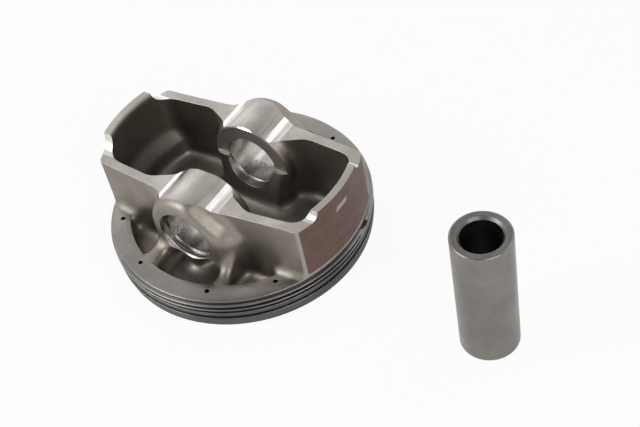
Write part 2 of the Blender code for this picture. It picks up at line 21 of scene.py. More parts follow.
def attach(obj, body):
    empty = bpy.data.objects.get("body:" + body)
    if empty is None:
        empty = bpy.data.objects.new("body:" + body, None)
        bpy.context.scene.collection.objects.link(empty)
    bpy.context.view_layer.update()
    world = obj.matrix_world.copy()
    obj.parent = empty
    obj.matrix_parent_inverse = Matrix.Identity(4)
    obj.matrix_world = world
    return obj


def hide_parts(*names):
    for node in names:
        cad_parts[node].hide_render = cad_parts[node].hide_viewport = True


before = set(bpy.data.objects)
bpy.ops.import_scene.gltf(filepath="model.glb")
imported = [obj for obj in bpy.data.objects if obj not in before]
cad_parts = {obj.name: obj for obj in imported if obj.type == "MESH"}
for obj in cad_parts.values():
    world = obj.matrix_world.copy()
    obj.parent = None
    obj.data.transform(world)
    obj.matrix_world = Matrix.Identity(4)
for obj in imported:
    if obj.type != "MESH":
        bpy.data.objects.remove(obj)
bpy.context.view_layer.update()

LOG = logging.getLogger("piston")
Material = bpy.types.Material
Thing = bpy.types.Object
Point = tuple[float, float]
Triple = tuple[float, float, float]
Colour = Triple
ARC_STEP = math.radians(4.0)
BEVEL_SAMPLES = 6
EDGE_MATCH = 0.12
NOISE_ROUGHNESS = 0.6


def arc(centre: Point, radius: float, start: float, end: float) -> list[Point]:
    """Points along an arc, both ends included.

    Args:
        centre: Middle of the arc's circle.
        radius: Radius of the circle.
        start: Angle of the first point, in radians.
        end: Angle of the last point, in radians.

    Returns:
        The points in order.
    """
    count = max(2, math.ceil(abs(end - start) / ARC_STEP))
    angles = (start + (end - start) * index / count for index in range(count + 1))
    return [(centre[0] + radius * math.cos(a), centre[1] + radius * math.sin(a)) for a in angles]


def rounded(corners: Sequence[Triple]) -> list[Point]:
    """Round the corners of an outline.

    Args:
        corners: Each corner's two coordinates and its radius, 0 for a sharp one.

    Returns:
        The outline with an arc at each rounded corner.
    """
    outline: list[Point] = []
    for index, (x, y, radius) in enumerate(corners):
        if radius <= 0:
            outline.append((x, y))
            continue
        here = Vector((x, y))
        back = (Vector(corners[index - 1][:2]) - here).normalized()
        ahead = (Vector(corners[(index + 1) % len(corners)][:2]) - here).normalized()
        half = back.angle(ahead) / 2
        centre = here + (back + ahead).normalized() * (radius / math.sin(half))
        first = here + back * (radius / math.tan(half)) - centre
        last = here + ahead * (radius / math.tan(half)) - centre
        start = math.atan2(first.y, first.x)
        turn = math.atan2(first.cross(last), first.dot(last))
        outline.extend(arc((centre.x, centre.y), radius, start, start + turn))
    return outline


def rectangle(half_x: float, half_y: float) -> list[Point]:
    """Corners of a rectangle round the origin."""
    return [(-half_x, -half_y), (half_x, -half_y), (half_x, half_y), (-half_x, half_y)]


class Axis(Enum):
    """Direction in which a flat outline is extruded."""

    X = "x"
    Y = "y"
    Z = "z"


class Solid:
    """A closed mesh in the making, joined and cut as a machinist would."""

    def __init__(self, name: str, work: bmesh.types.BMesh, finish: Material | None = None) -> None:
        """Put a finished bmesh on an object.

        Args:
            name: Name of the object.
            work: The bmesh, which is freed.
            finish: Material that the faces keep through later cuts.
        """
        bmesh.ops.remove_doubles(work, verts=work.verts, dist=1e-7)
        bmesh.ops.recalc_face_normals(work, faces=work.faces)
        mesh = bpy.data.meshes.new(name)
        work.to_mesh(mesh)
        work.free()
        self.thing = bpy.data.objects.new(name, mesh)
        bpy.context.scene.collection.objects.link(self.thing)
        if finish is not None:
            mesh.materials.append(finish)

    @classmethod
    def prism(
        cls,
        name: str,
        outline: Sequence[Point],
        low: float,
        high: float,
        axis: Axis,
        finish: Material | None = None,
    ) -> Solid:
        """Extrude a flat outline.

        Args:
            name: Name of the solid.
            outline: Points as (x, y) along Z, (x, z) along Y and (y, z) along X.
            low: Where the extrusion starts on its axis.
            high: Where it ends.
            axis: Its direction.
            finish: Material of its faces.

        Returns:
            The solid.
        """
        place = {
            Axis.X: lambda a, b: (low, a, b),
            Axis.Y: lambda a, b: (a, low, b),
            Axis.Z: lambda a, b: (a, b, low),
        }[axis]
        along = {Axis.X: Vector((1, 0, 0)), Axis.Y: Vector((0, 1, 0)), Axis.Z: Vector((0, 0, 1))}[axis]
        work = bmesh.new()
        face = work.faces.new([work.verts.new(place(a, b)) for a, b in outline])
        grown = bmesh.ops.extrude_face_region(work, geom=[face])["geom"]
        moved = [item for item in grown if isinstance(item, bmesh.types.BMVert)]
        bmesh.ops.translate(work, verts=moved, vec=along * (high - low))
        return cls(name, work, finish)

    @classmethod
    def turned(
        cls,
        name: str,
        profile: Sequence[Point],
        steps: int,
        finish: Material | None = None,
        closed: bool = False,
    ) -> Solid:
        """Spin a profile of (radius, height) points about Z.

        Args:
            name: Name of the solid.
            profile: The points, which start and end on the axis unless closed.
            steps: Number of facets round.
            finish: Material of its faces.
            closed: Whether the profile is a ring of points clear of the axis.

        Returns:
            The solid.
        """
        work = bmesh.new()
        verts = [work.verts.new((radius, 0.0, height)) for radius, height in profile]
        edges = [work.edges.new(pair) for pair in zip(verts, verts[1:])]
        if closed:
            edges.append(work.edges.new((verts[-1], verts[0])))
        bmesh.ops.spin(
            work,
            geom=verts + edges,
            cent=(0, 0, 0),
            axis=(0, 0, 1),
            angle=2 * math.pi,
            steps=steps,
            use_merge=True,
            use_duplicate=False,
        )
        return cls(name, work, finish)

    def refinish(self, finish: Material, chosen: Callable[[Vector, Vector], bool]) -> Solid:
        """Give some faces another finish.

        Args:
            finish: The other finish.
            chosen: Says yes to a face's middle and normal.

        Returns:
            The solid.
        """
        mesh = self.thing.data
        mesh.materials.append(finish)
        for face in mesh.polygons:
            if chosen(face.center, face.normal):
                face.material_index = len(mesh.materials) - 1
        return self

    def moved(self, matrix: Matrix) -> Solid:
        """Move the mesh by a matrix and return the solid."""
        self.thing.data.transform(matrix)
        return self

    def _settle(self) -> None:
        """Apply the modifiers to the mesh."""
        graph = bpy.context.evaluated_depsgraph_get()
        old = self.thing.data
        new = bpy.data.meshes.new_from_object(self.thing.evaluated_get(graph))
        self.thing.modifiers.clear()
        self.thing.data = new
        bpy.data.meshes.remove(old)

    def _combine(self, tools: Iterable[Solid], operation: str) -> Solid:
        """Join or cut with each tool in turn, and remove the tools.

        Args:
            tools: The solids to work with.
            operation: Name of the Boolean operation.

        Returns:
            The solid.
        """
        for tool in tools:
            step = self.thing.modifiers.new(operation, "BOOLEAN")
            step.operation = operation
            step.solver = "MANIFOLD"
            step.material_mode = "TRANSFER"
            step.object = tool.thing
            self._settle()
            bpy.data.objects.remove(tool.thing)
        return self

    def join(self, *tools: Solid) -> Solid:
        """Add the tools' metal."""
        return self._combine(tools, "UNION")

    def cut(self, *tools: Solid) -> Solid:
        """Take the tools' shapes away."""
        return self._combine(tools, "DIFFERENCE")

    def keep(self, *tools: Solid) -> Solid:
        """Keep only what lies inside each tool."""
        return self._combine(tools, "INTERSECT")

    def remesh(self, voxel: float) -> Solid:
        """Make the surface even again.

        Args:
            voxel: Size of a voxel, in metres.

        Returns:
            The solid.
        """
        step = self.thing.modifiers.new("even", "REMESH")
        step.mode = "VOXEL"
        step.voxel_size = voxel
        self._settle()
        return self

    def swell(self, distance: float) -> Solid:
        """Push the surface out along its normals.

        Args:
            distance: How far, negative for inwards.

        Returns:
            The solid.
        """
        step = self.thing.modifiers.new("swell", "DISPLACE")
        step.strength = distance
        step.mid_level = 0.0
        self._settle()
        return self

    def smooth(self, repeats: int, factor: float = 0.5) -> Solid:
        """Let the surface relax.

        Args:
            repeats: How often each point moves.
            factor: How far it moves towards its neighbours' middle.

        Returns:
            The solid.
        """
        step = self.thing.modifiers.new("relax", "SMOOTH")
        step.factor = factor
        step.iterations = repeats
        self._settle()
        return self

    def shade(self, degrees: float = 30.0) -> Thing:
        """Shade smooth with sharp edges past an angle and return the object.

        Args:
            degrees: The angle.

        Returns:
            The object.
        """
        self.thing.data.shade_smooth()
        self.thing.data.set_sharp_from_angle(angle=math.radians(degrees))
        return self.thing


@dataclass(frozen=True)
class Sizes:
    """The piston's drawing: radii, heights and allowances that several pieces share."""

    land_radius: float = 0.0519
    skirt_radius: float = 0.0523
    crown_thickness: float = 0.0070
    belt_height: float = 0.0149
    belt_wall_radius: float = 0.0444
    wall_height: float = 0.0380
    skirt_height: float = 0.0430
    pin_axis: float = 0.0250
    pin_bore: float = 0.01102
    allowance: float = 0.0010
    skirt_stock: float = 0.0017
    overlap: float = 0.0010
    clear: float = 0.0100
    top_groove: float = 0.0036
    second_groove: float = 0.0067
    oil_groove: float = 0.0097
    groove_height: float = 0.0015
    oil_groove_height: float = 0.0031
    groove_root: float = 0.0481
    oil_groove_root: float = 0.0468

    @property
    def stock_radius(self) -> float:
        """Radius of the forging before turning."""
        return self.skirt_radius + self.skirt_stock


SIZES = Sizes()


@dataclass
class Forging:
    """The raw forging: crown, belt, skirts, side walls, bosses and struts in one soft piece."""

    sizes: Sizes = SIZES
    floor_fillet: float = 0.0022
    belt_stock: float = 0.0003
    belt_shoulder: Point = (0.0022, 0.0018)
    skirt_wall: float = 0.0035
    skirt_half_angle: float = math.radians(24.5)
    edge_flat: float = 0.0022
    wall_thickness: float = 0.0037
    wall_middle: float = 0.0253
    wall_straight: float = 0.0140
    wall_taper: float = 0.085
    wall_corner: float = 0.0060
    skirt_swing: float = 0.62
    gusset_start: float = 0.0230
    gusset_end: float = 0.0165
    gusset_depth: float = 0.0040
    gusset_round: float = 0.0030
    root_low: float = 0.0133
    root_high: float = 0.0220
    boss_radius: float = 0.0173
    boss_inner_face: float = 0.0123
    boss_outer_face: float = 0.0330
    nose_start: float = 0.0275
    nose_lip: float = 0.0014
    nose_power: float = 0.6
    hood_turn: float = math.radians(40.0)
    hood_start: float = 0.0244
    hood_slope: float = 0.34
    pillar_half_width: float = 0.0160
    pillar_round: float = 0.0060
    pillar_step: float = 0.0012
    pillar_slope: float = 0.25
    strut_spans: tuple[Point, Point] = ((-0.0170, -0.0102), (0.0150, 0.0198))
    strut_stand: float = 0.0288
    strut_foot: float = 0.0463
    strut_ankle: float = 0.4
    strut_top: float = 0.0270
    strut_shoulder: float = 0.0215
    strut_fillet: float = 0.0050
    recess_floor: float = 0.0082
    recess_round: float = 0.0025
    recess_lip: float = 0.0022
    sleeve_wall: float = 0.0016
    sleeve_sweep: float = math.radians(36.0)
    voxel: float = 0.00078
    fillet: float = 0.0024
    edge_round: float = 0.0014
    relaxing: int = 16
    steps: int = 160
    boss_steps: int = 96

    @property
    def skirt_inner(self) -> float:
        """Radius of a skirt's inner face."""
        return self.sizes.skirt_radius - self.skirt_wall

    def wall_line(self, x: float) -> float:
        """Distance of a side wall's outer face from the middle plane at x."""
        return self.wall_middle - self.wall_taper * max(0.0, abs(x) - self.wall_straight)

    def inner_line(self, x: float) -> float:
        """Distance of a side wall's inner face from the middle plane at x."""
        return self.wall_line(x) - self.wall_thickness

    def disc(self) -> Solid:
        """Crown and ring belt, with the floor's fillet.

        Returns:
            The disc.
        """
        size = self.sizes
        fillet = self.floor_fillet
        wall = size.belt_wall_radius + self.belt_stock
        high = size.belt_height - self.belt_stock
        inset, drop = self.belt_shoulder
        return Solid.turned(
            "forging",
            [
                (0.0, size.crown_thickness),
                *arc((wall - fillet, size.crown_thickness + fillet), fillet, -math.pi / 2, 0.0),
                (wall, high),
                (size.land_radius - inset, high),
                (size.stock_radius, size.belt_height - drop),
                (size.stock_radius, -size.allowance),
                (0.0, -size.allowance),
            ],
            self.steps,
        )

    def shell(self) -> Solid:
        """The two skirts and the four side walls.

        Returns:
            The walls.
        """
        size = self.sizes
        reach = self.skirt_half_angle
        corner = size.skirt_radius * math.cos(reach)
        flat = corner - self.edge_flat * math.sin(reach)
        past = math.asin(self.wall_line(corner) / size.stock_radius)
        outer: list[Point] = []
        for side in (1, -1):
            middle = 0.0 if side > 0 else math.pi
            outer.extend(arc((0, 0), size.stock_radius, middle - past, middle + past))
            for x in (self.wall_straight, -self.wall_straight):
                outer.append((side * x, side * self.wall_line(x)))
        low = size.crown_thickness - size.overlap
        high = size.skirt_height + size.allowance
        walls = Solid.prism("walls", outer, low, high, Axis.Z)
        plan = self.hollow(flat)
        return walls.cut(Solid.prism("hollow", plan, low - size.overlap, high + size.overlap, Axis.Z))

    def hollow(self, flat: float) -> list[Point]:
        """Plan of the hollow inside the walls.

        Args:
            flat: Where the walls' outer faces end at the skirts.

        Returns:
            The outline.
        """
        turn = math.asin(self.inner_line(flat) / self.skirt_inner)
        corner = self.skirt_inner * math.cos(turn)
        swing = turn * self.skirt_swing
        inner: list[Triple] = []
        for side in (1, -1):
            middle = 0.0 if side > 0 else math.pi
            curve = arc((0, 0), self.skirt_inner, middle - swing, middle + swing)
            inner.extend((x, y, 0.0) for x, y in curve)
            half = [
                (corner, self.inner_line(corner), self.wall_corner),
                (self.gusset_start, self.inner_line(self.gusset_start), self.wall_corner),
                (self.gusset_end, self.inner_line(self.gusset_end) - self.gusset_depth, self.gusset_round),
            ]
            inner.extend((side * x, side * y, radius) for x, y, radius in half)
            inner.extend((-side * x, side * y, radius) for x, y, radius in reversed(half))
        return rounded(inner)

    def skirt_roots(self) -> Solid:
        """Slopes that carry the skirts' inner faces down to the belt.

        Returns:
            Both slopes as one solid.
        """
        size = self.sizes
        profile = [
            (self.skirt_inner + size.overlap, self.root_high),
            (self.skirt_inner + size.overlap, self.root_low),
            (size.belt_wall_radius, self.root_low),
            (size.belt_wall_radius, self.root_low + size.overlap / 2),
            (self.skirt_inner, self.root_high),
        ]
        hoop = Solid.turned("skirt roots", profile, self.steps, closed=True)
        half = self.wall_line(self.skirt_inner) - self.wall_thickness / 2
        plan = rectangle(size.stock_radius, half)
        return hoop.keep(Solid.prism("width", plan, 0.0, size.skirt_height, Axis.Z))

    def along_pin(self, solid: Solid, side: int) -> Solid:
        """Lay a solid built on Z along the pin axis, towards side +1 or -1."""
        turn = Matrix.Rotation(-side * math.pi / 2, 4, "X")
        return solid.moved(Matrix.Translation((0, 0, self.sizes.pin_axis)) @ turn)

    def boss(self, side: int) -> Solid:
        """One pin boss with stock for milling on its crest and its inner face.

        Args:
            side: +1 for the far side, -1 for the near side.

        Returns:
            The boss.
        """
        size = self.sizes
        lip = size.pin_bore + self.nose_lip
        reach = self.boss_outer_face - self.nose_start
        outer = self.boss_radius + size.allowance / 2
        nose = arc((0, 0), 1.0, math.pi / 2, 0.0)
        profile = [
            (0.0, self.boss_outer_face),
            *[(lip + (outer - lip) * x**self.nose_power, self.nose_start + reach * y) for x, y in nose],
            (outer, self.boss_inner_face - size.allowance),
            (0.0, self.boss_inner_face - size.allowance),
        ]
        solid = self.along_pin(Solid.turned("boss", profile, self.boss_steps), side)
        return solid.cut(self.hood(side))

    def hood(self, side: int) -> Solid:
        """The slanted cut that makes the boss's nose fall away into its right strut.

        Args:
            side: +1 for the far side, -1 for the near side.

        Returns:
            The cutter.
        """
        across = math.sin(self.hood_turn)
        up = math.cos(self.hood_turn)
        high = self.sizes.pin_axis + self.boss_radius * up
        shift = Matrix.Translation((self.boss_radius * across, side * self.hood_start, high))
        normal = Vector((across, side * self.hood_slope, up)).normalized()
        turn = normal.to_track_quat("Z", "X").to_matrix().to_4x4()
        far = self.boss_outer_face
        return Solid.prism("hood", rectangle(far, far), 0.0, far, Axis.Z).moved(shift @ turn)

    def pillar(self, side: int) -> Solid:
        """The pillar under a boss: rounded in plan, its face sloping to the crown.

        Args:
            side: +1 for the far side, -1 for the near side.

        Returns:
            The pillar.
        """
        size = self.sizes
        inside = self.wall_middle - self.wall_thickness / 2
        low = size.crown_thickness - size.overlap
        face = self.boss_inner_face - self.pillar_step
        toe = face - self.pillar_slope * (size.pin_axis - low)
        half = self.pillar_half_width
        plan = [
            (-half, side * inside, 0.0),
            (-half, side * toe, self.pillar_round),
            (half, side * toe, self.pillar_round),
            (half, side * inside, 0.0),
        ]
        block = Solid.prism("pillar", rounded(plan), low, size.pin_axis, Axis.Z)
        slope = [
            (side * (toe - size.clear), low - size.clear),
            (side * (toe - self.pillar_slope * size.clear), low - size.clear),
            (side * (face + self.pillar_slope * size.clear), size.pin_axis + size.clear),
            (side * (toe - size.clear), size.pin_axis + size.clear),
        ]
        far = half + size.clear
        return block.cut(Solid.prism("slope", slope, -far, far, Axis.X))

    def struts(self, side: int) -> list[Solid]:
        """The two struts that carry a boss's outer end.

        Args:
            side: +1 for the far side, -1 for the near side.

        Returns:
            The struts.
        """
        size = self.sizes
        inside = self.wall_middle - self.wall_thickness / 2
        low = size.crown_thickness - size.overlap
        made = []
        for span in self.strut_spans:
            middle = (span[0] + span[1]) / 2
            foot = math.sqrt(self.strut_foot**2 - middle**2)
            ankle = self.strut_stand + (foot - self.strut_stand) * self.strut_ankle
            outline = [
                (side * inside, low, 0.0),
                (side * foot, low, 0.0),
                (side * foot, size.belt_height, 0.0),
                (side * ankle, size.belt_height + size.overlap / 2, self.strut_fillet),
                (side * self.strut_stand, self.strut_shoulder, self.strut_fillet),
                (side * self.strut_stand, self.strut_top, 0.0),
                (side * inside, self.strut_top, 0.0),
            ]
            strut = Solid.prism("strut", rounded(outline), *span, Axis.X)
            made.append(strut.cut(self.hood(side)))
        return made

    def recess(self, side: int) -> Solid:
        """The hollow under a boss's outer end, between the struts.

        Args:
            side: +1 for the far side, -1 for the near side.

        Returns:
            The cutter.
        """
        size = self.sizes
        radius = size.pin_bore + self.sleeve_wall
        sleeve = arc((0, size.pin_axis), radius, -self.sleeve_sweep, self.sleeve_sweep - math.pi)
        outline = rounded(
            [
                (self.strut_spans[0][1], self.recess_floor, self.recess_round),
                (self.strut_spans[1][0], self.recess_floor, self.recess_round),
                *[(x, z, 0.0) for x, z in sleeve],
            ]
        )
        ends = sorted((side * self.wall_middle, side * (size.belt_wall_radius - self.recess_lip)))
        return Solid.prism("recess", outline, *ends, Axis.Y)

    def build(self) -> Solid:
        """Join the blocks, let their corners flow into fillets, and round their edges.

        Returns:
            The forging, still with its machining stock.
        """
        body = self.disc()
        body.join(self.shell(), self.skirt_roots())
        for side in (1, -1):
            body.join(self.boss(side), self.pillar(side), *self.struts(side))
            body.cut(self.recess(side))
        LOG.info("forging joined: %d faces", len(body.thing.data.polygons))
        body.remesh(self.voxel)
        body.swell(self.fillet).remesh(self.voxel)
        body.swell(-self.fillet).remesh(self.voxel)
        body.swell(-self.edge_round).remesh(self.voxel)
        body.swell(self.edge_round).remesh(self.voxel)
        body.smooth(self.relaxing)
        LOG.info("forging settled: %d faces", len(body.thing.data.polygons))
        return body


@dataclass
class Machining:
    """The cuts that turn the forging into a piston, each with its own surface finish."""

    forging: Forging
    finishes: BodyFinishes
    sizes: Sizes = SIZES
    steps: int = 256
    bore_steps: int = 128
    drain_steps: int = 24
    pocket_steps: int = 96
    sharp_angle: float = 32.0
    crown_chamfer: float = 0.0005
    skirt_foot: float = 0.0144
    ledge_chamfer: Point = (0.0019, 0.0007)
    ledge_undercut: Point = (0.00035, 0.0028)
    rim_half_width: float = 0.0130
    saddle_fillet: float = 0.0060
    saddle_slack: float = 1.01
    curve_lean: float = 0.08
    crest_reach: float = 0.0400
    rim_rises: Point = (-0.0010, 0.0016)
    corner_reach: float = 0.0025
    inner_start: float = 0.0100
    slot_half_width: float = 0.0200
    slot_floor: float = 0.0246
    boss_edge: float = 0.0007
    mouth_chamfer: float = 0.0009
    inner_mouth_chamfer: float = 0.0004
    lock_groove: Triple = (0.0018, 0.0009, 0.0020)
    drain_radius: float = 0.00095
    drain_circle: float = 0.0473
    drain_angles: tuple[float, ...] = (38.0, 70.0, 110.0, 142.0, 218.0, 250.0, 290.0, 322.0)
    pocket_depth: float = 0.0016
    pocket_tilt: float = math.radians(5.0)
    pocket_edge: float = 0.0047
    pocket_angle: float = math.radians(43.0)
    pocket_pairs: tuple[tuple[int, float], ...] = ((-1, 0.0178), (1, 0.0152))

    def turning(self) -> Solid:
        """The lathe's cut: crown edge, lands, ring grooves and skirts.

        Returns:
            The cutter.
        """
        size = self.sizes
        far = size.stock_radius + size.clear
        chamfer = self.crown_chamfer
        profile = [
            (far, size.skirt_height + size.clear),
            (far, -size.clear),
            (size.land_radius - chamfer - size.clear, -size.clear),
            (size.land_radius, chamfer),
        ]
        grooves = (
            (size.top_groove, size.groove_height, size.groove_root),
            (size.second_groove, size.groove_height, size.groove_root),
            (size.oil_groove, size.oil_groove_height, size.oil_groove_root),
        )
        for low, height, root in grooves:
            profile.append((size.land_radius, low))
            profile.append((root, low))
            profile.append((root, low + height))
            profile.append((size.land_radius, low + height))
        profile.append((size.land_radius, self.skirt_foot))
        profile.append((size.skirt_radius, self.skirt_foot + size.skirt_radius - size.land_radius))
        profile.append((size.skirt_radius, size.skirt_height + size.clear))
        return Solid.turned("turning", profile, self.steps, self.finishes.turned, closed=True)

    def facing(self) -> Solid:
        """The cut that makes the crown flat.

        Returns:
            The cutter.
        """
        size = self.sizes
        far = size.stock_radius + size.clear
        profile = [(0.0, 0.0), (far, 0.0), (far, -size.clear), (0.0, -size.clear)]
        return Solid.turned("facing", profile, self.steps, self.finishes.faced)

    def ledge(self) -> Solid:
        """The crisp turned ledge that closes the belt outside the walls.

        Returns:
            The ledge's two halves as one solid.
        """
        size = self.sizes
        slope = self.ledge_chamfer[1] / self.ledge_chamfer[0]
        edge = size.land_radius - self.ledge_chamfer[0]
        profile = [
            (size.belt_wall_radius, size.belt_height),
            (edge, size.belt_height),
            (size.stock_radius, size.belt_height - slope * (size.stock_radius - edge)),
            (size.stock_radius, size.belt_height - self.ledge_undercut[1]),
            (size.belt_wall_radius + self.ledge_undercut[0], size.belt_height - self.ledge_undercut[1]),
        ]
        ring = Solid.turned("ledge", profile, self.steps, self.finishes.faced, closed=True)
        half = self.forging.wall_line(size.belt_wall_radius) - self.forging.wall_thickness / 2
        plan = rectangle(size.stock_radius + size.clear, half)
        inside = Solid.prism("inside", plan, 0.0, size.skirt_height, Axis.Z, self.finishes.forged)
        return ring.cut(inside)

    def saddle(self) -> Point:
        """Middle of the fillet between a boss's arch and a wall's top, as (x, z).

        Returns:
            The point.
        """
        size = self.sizes
        high = size.wall_height + self.saddle_fillet
        reach = self.forging.boss_radius + self.saddle_fillet
        return math.sqrt(reach**2 - (high - size.pin_axis) ** 2), high

    def crest_profile(self) -> list[Point]:
        """What the form mill takes off above the side walls and the boss arch.

        Returns:
            The outline as (x, z) points.
        """
        size = self.sizes
        middle = self.saddle()
        contact = math.atan2(middle[1] - size.pin_axis, middle[0])
        arch = arc((0, size.pin_axis), self.forging.boss_radius, math.pi - contact, contact)
        right = arc(middle, self.saddle_fillet, contact + math.pi, 1.5 * math.pi)
        left = [(-x, z) for x, z in reversed(right)]
        top = size.skirt_height + size.clear
        far = self.crest_reach
        lows = [size.wall_height + rise for rise in self.rim_rises]
        return [(-far, top), (-far, lows[0]), *left[:-1], *arch, *right[1:], (far, lows[1]), (far, top)]

    def on_saddle(self, middle: Vector, _normal: Vector) -> bool:
        """Whether a face of the crest mill lies on a saddle's fillet."""
        x, z = self.saddle()
        return math.hypot(abs(middle.x) - x, middle.z - z) < self.saddle_fillet * self.saddle_slack

    def on_curve(self, _middle: Vector, normal: Vector) -> bool:
        """Whether a face leans both ways, as a ramp or a broken edge does."""
        return min(abs(normal.y), abs(normal.z)) > self.curve_lean

    def rims(self) -> list[Solid]:
        """The milled tops of walls, bosses and skirts.

        Returns:
            The cutters.
        """
        size = self.sizes
        far = size.stock_radius + size.clear
        top = size.skirt_height + size.clear
        milled = self.finishes.milled
        tools = []
        for side in (1, -1):
            ends = sorted((side * self.inner_start, side * far))
            crest = Solid.prism("crest mill", self.crest_profile(), *ends, Axis.Y, milled)
            # Saddle fillets take the smoother finish whose near-white colour is a painted highlight.
            tools.append(crest.refinish(self.finishes.bright, self.on_saddle))
            low = size.wall_height + self.rim_rises[(side + 1) // 2]
            radius = size.skirt_height - low
            curve = arc((self.rim_half_width + radius, low + radius), radius, math.pi, 1.5 * math.pi)
            outline = [(self.rim_half_width, top), *curve, (far, low), (far, top)]
            for hand in (1, -1):
                span = sorted((side * (self.crest_reach - size.overlap), side * far))
                swept = [(hand * y, z) for y, z in outline]
                ramp = Solid.prism("ramp mill", swept, *span, Axis.X, milled)
                # Ramps and broken edges take the smoother finish whose near-white colour is a painted
                # highlight.
                tools.append(ramp.refinish(self.finishes.bright, self.on_curve))
        plan = rectangle(far, far)
        tools.append(Solid.prism("skirt facing", plan, size.skirt_height, top, Axis.Z, milled))
        return tools

    def corners(self) -> list[Solid]:
        """The milled flats where the skirts meet the side walls.

        Returns:
            The cutters.
        """
        size = self.sizes
        forging = self.forging
        reach = forging.skirt_half_angle
        skirt = (size.skirt_radius * math.cos(reach), size.skirt_radius * math.sin(reach))
        wall_x = skirt[0] - forging.edge_flat * math.sin(reach)
        wall = (wall_x, forging.wall_line(wall_x))
        along = (Vector(wall) - Vector(skirt)).normalized() * self.corner_reach
        out = Vector((-along.y, along.x)) * -1.0
        first = Vector(skirt) - along
        last = Vector(wall) + along
        outline = [first, last, last + out, first + out]
        top = size.skirt_height + size.clear
        tools = []
        for side in (1, -1):
            for hand in (1, -1):
                plan = [(hand * point.x, side * point.y) for point in outline]
                flat = Solid.prism("corner", plan, self.skirt_foot, top, Axis.Z, self.finishes.milled)
                tools.append(flat)
        return tools

    def rod_slot(self) -> Solid:
        """The slot between the bosses for the connecting rod, its edges broken.

        Returns:
            The cutter.
        """
        size = self.sizes
        half = self.forging.boss_inner_face
        high = size.pin_axis + self.forging.boss_radius
        outline = [
            (-half, self.slot_floor),
            (half, self.slot_floor),
            (half, high - self.boss_edge),
            (half + self.boss_edge + size.overlap, high + size.overlap),
            (-half - self.boss_edge - size.overlap, high + size.overlap),
            (-half, high - self.boss_edge),
        ]
        wide = self.slot_half_width
        slot = Solid.prism("rod slot", outline, -wide, wide, Axis.X, self.finishes.milled)
        # Broken edges of the slot take the smoother finish whose near-white colour is a painted highlight.
        return slot.refinish(self.finishes.bright, self.on_curve)

    def bore(self) -> list[Solid]:
        """The pin bore with its chamfered mouths and its two lock-wire grooves.

        Returns:
            A cutter for each side.
        """
        size = self.sizes
        radius = size.pin_bore
        far = self.forging.boss_outer_face
        lip = self.mouth_chamfer + size.overlap
        wire, depth, inset = self.lock_groove
        tools = []
        for side in (1, -1):
            inner = self.forging.boss_inner_face
            edge = self.inner_mouth_chamfer
            profile = [
                (0.0, far + size.overlap),
                (radius + lip, far + size.overlap),
                (radius, far - self.mouth_chamfer),
                (radius, far - inset),
                (radius + depth, far - inset),
                (radius + depth, far - inset - wire),
                (radius, far - inset - wire),
                (radius, inner + edge),
                (radius + edge, inner),
                (radius, inner - edge),
                (radius, 0.0),
                (0.0, 0.0),
            ]
            cutter = Solid.turned("bore", profile, self.bore_steps, self.finishes.bored)
            tools.append(self.forging.along_pin(cutter, side))
        return tools

    def drains(self) -> list[Solid]:
        """Drilled oil holes from the ledge into the oil groove.

        Returns:
            The cutters.
        """
        size = self.sizes
        low = size.oil_groove + size.oil_groove_height / 2
        high = size.belt_height + size.overlap
        profile = [(0.0, high), (self.drain_radius, high), (self.drain_radius, low), (0.0, low)]
        tools = []
        for degrees in self.drain_angles:
            angle = math.radians(degrees)
            hole = Solid.turned("drain", profile, self.drain_steps, self.finishes.drilled)
            shift = (self.drain_circle * math.cos(angle), self.drain_circle * math.sin(angle), 0.0)
            tools.append(hole.moved(Matrix.Translation(shift)))
        return tools

    def pockets(self) -> list[Solid]:
        """Tilted discs that sink the valve pockets into the crown.

        Returns:
            The cutters.
        """
        size = self.sizes
        deep = self.pocket_depth
        tools = []
        for hand, radius in self.pocket_pairs:
            away = size.land_radius - self.pocket_edge - radius
            x = hand * away * math.cos(self.pocket_angle)
            y = away * math.sin(self.pocket_angle)
            profile = [(0.0, deep), (radius, deep), (radius, -size.clear), (0.0, -size.clear)]
            tilt = Matrix.Rotation(hand * self.pocket_tilt, 4, "Y")
            for side in (1, -1):
                disc = Solid.turned("pocket", profile, self.pocket_steps, self.finishes.milled)
                tools.append(disc.moved(Matrix.Translation((x, side * y, 0.0)) @ tilt))
        return tools

    def build(self) -> Thing:
        """Forge and machine the body.

        Returns:
            The finished piston body.
        """
        body = self.forging.build()
        body.thing.data.materials.clear()
        body.thing.data.materials.append(self.finishes.forged)
        body.join(self.ledge())
        body.cut(self.turning(), self.facing(), *self.corners(), *self.rims())
        body.cut(self.rod_slot(), *self.bore(), *self.drains(), *self.pockets())
        LOG.info("body machined: %d faces", len(body.thing.data.polygons))
        return body.shade(self.sharp_angle)


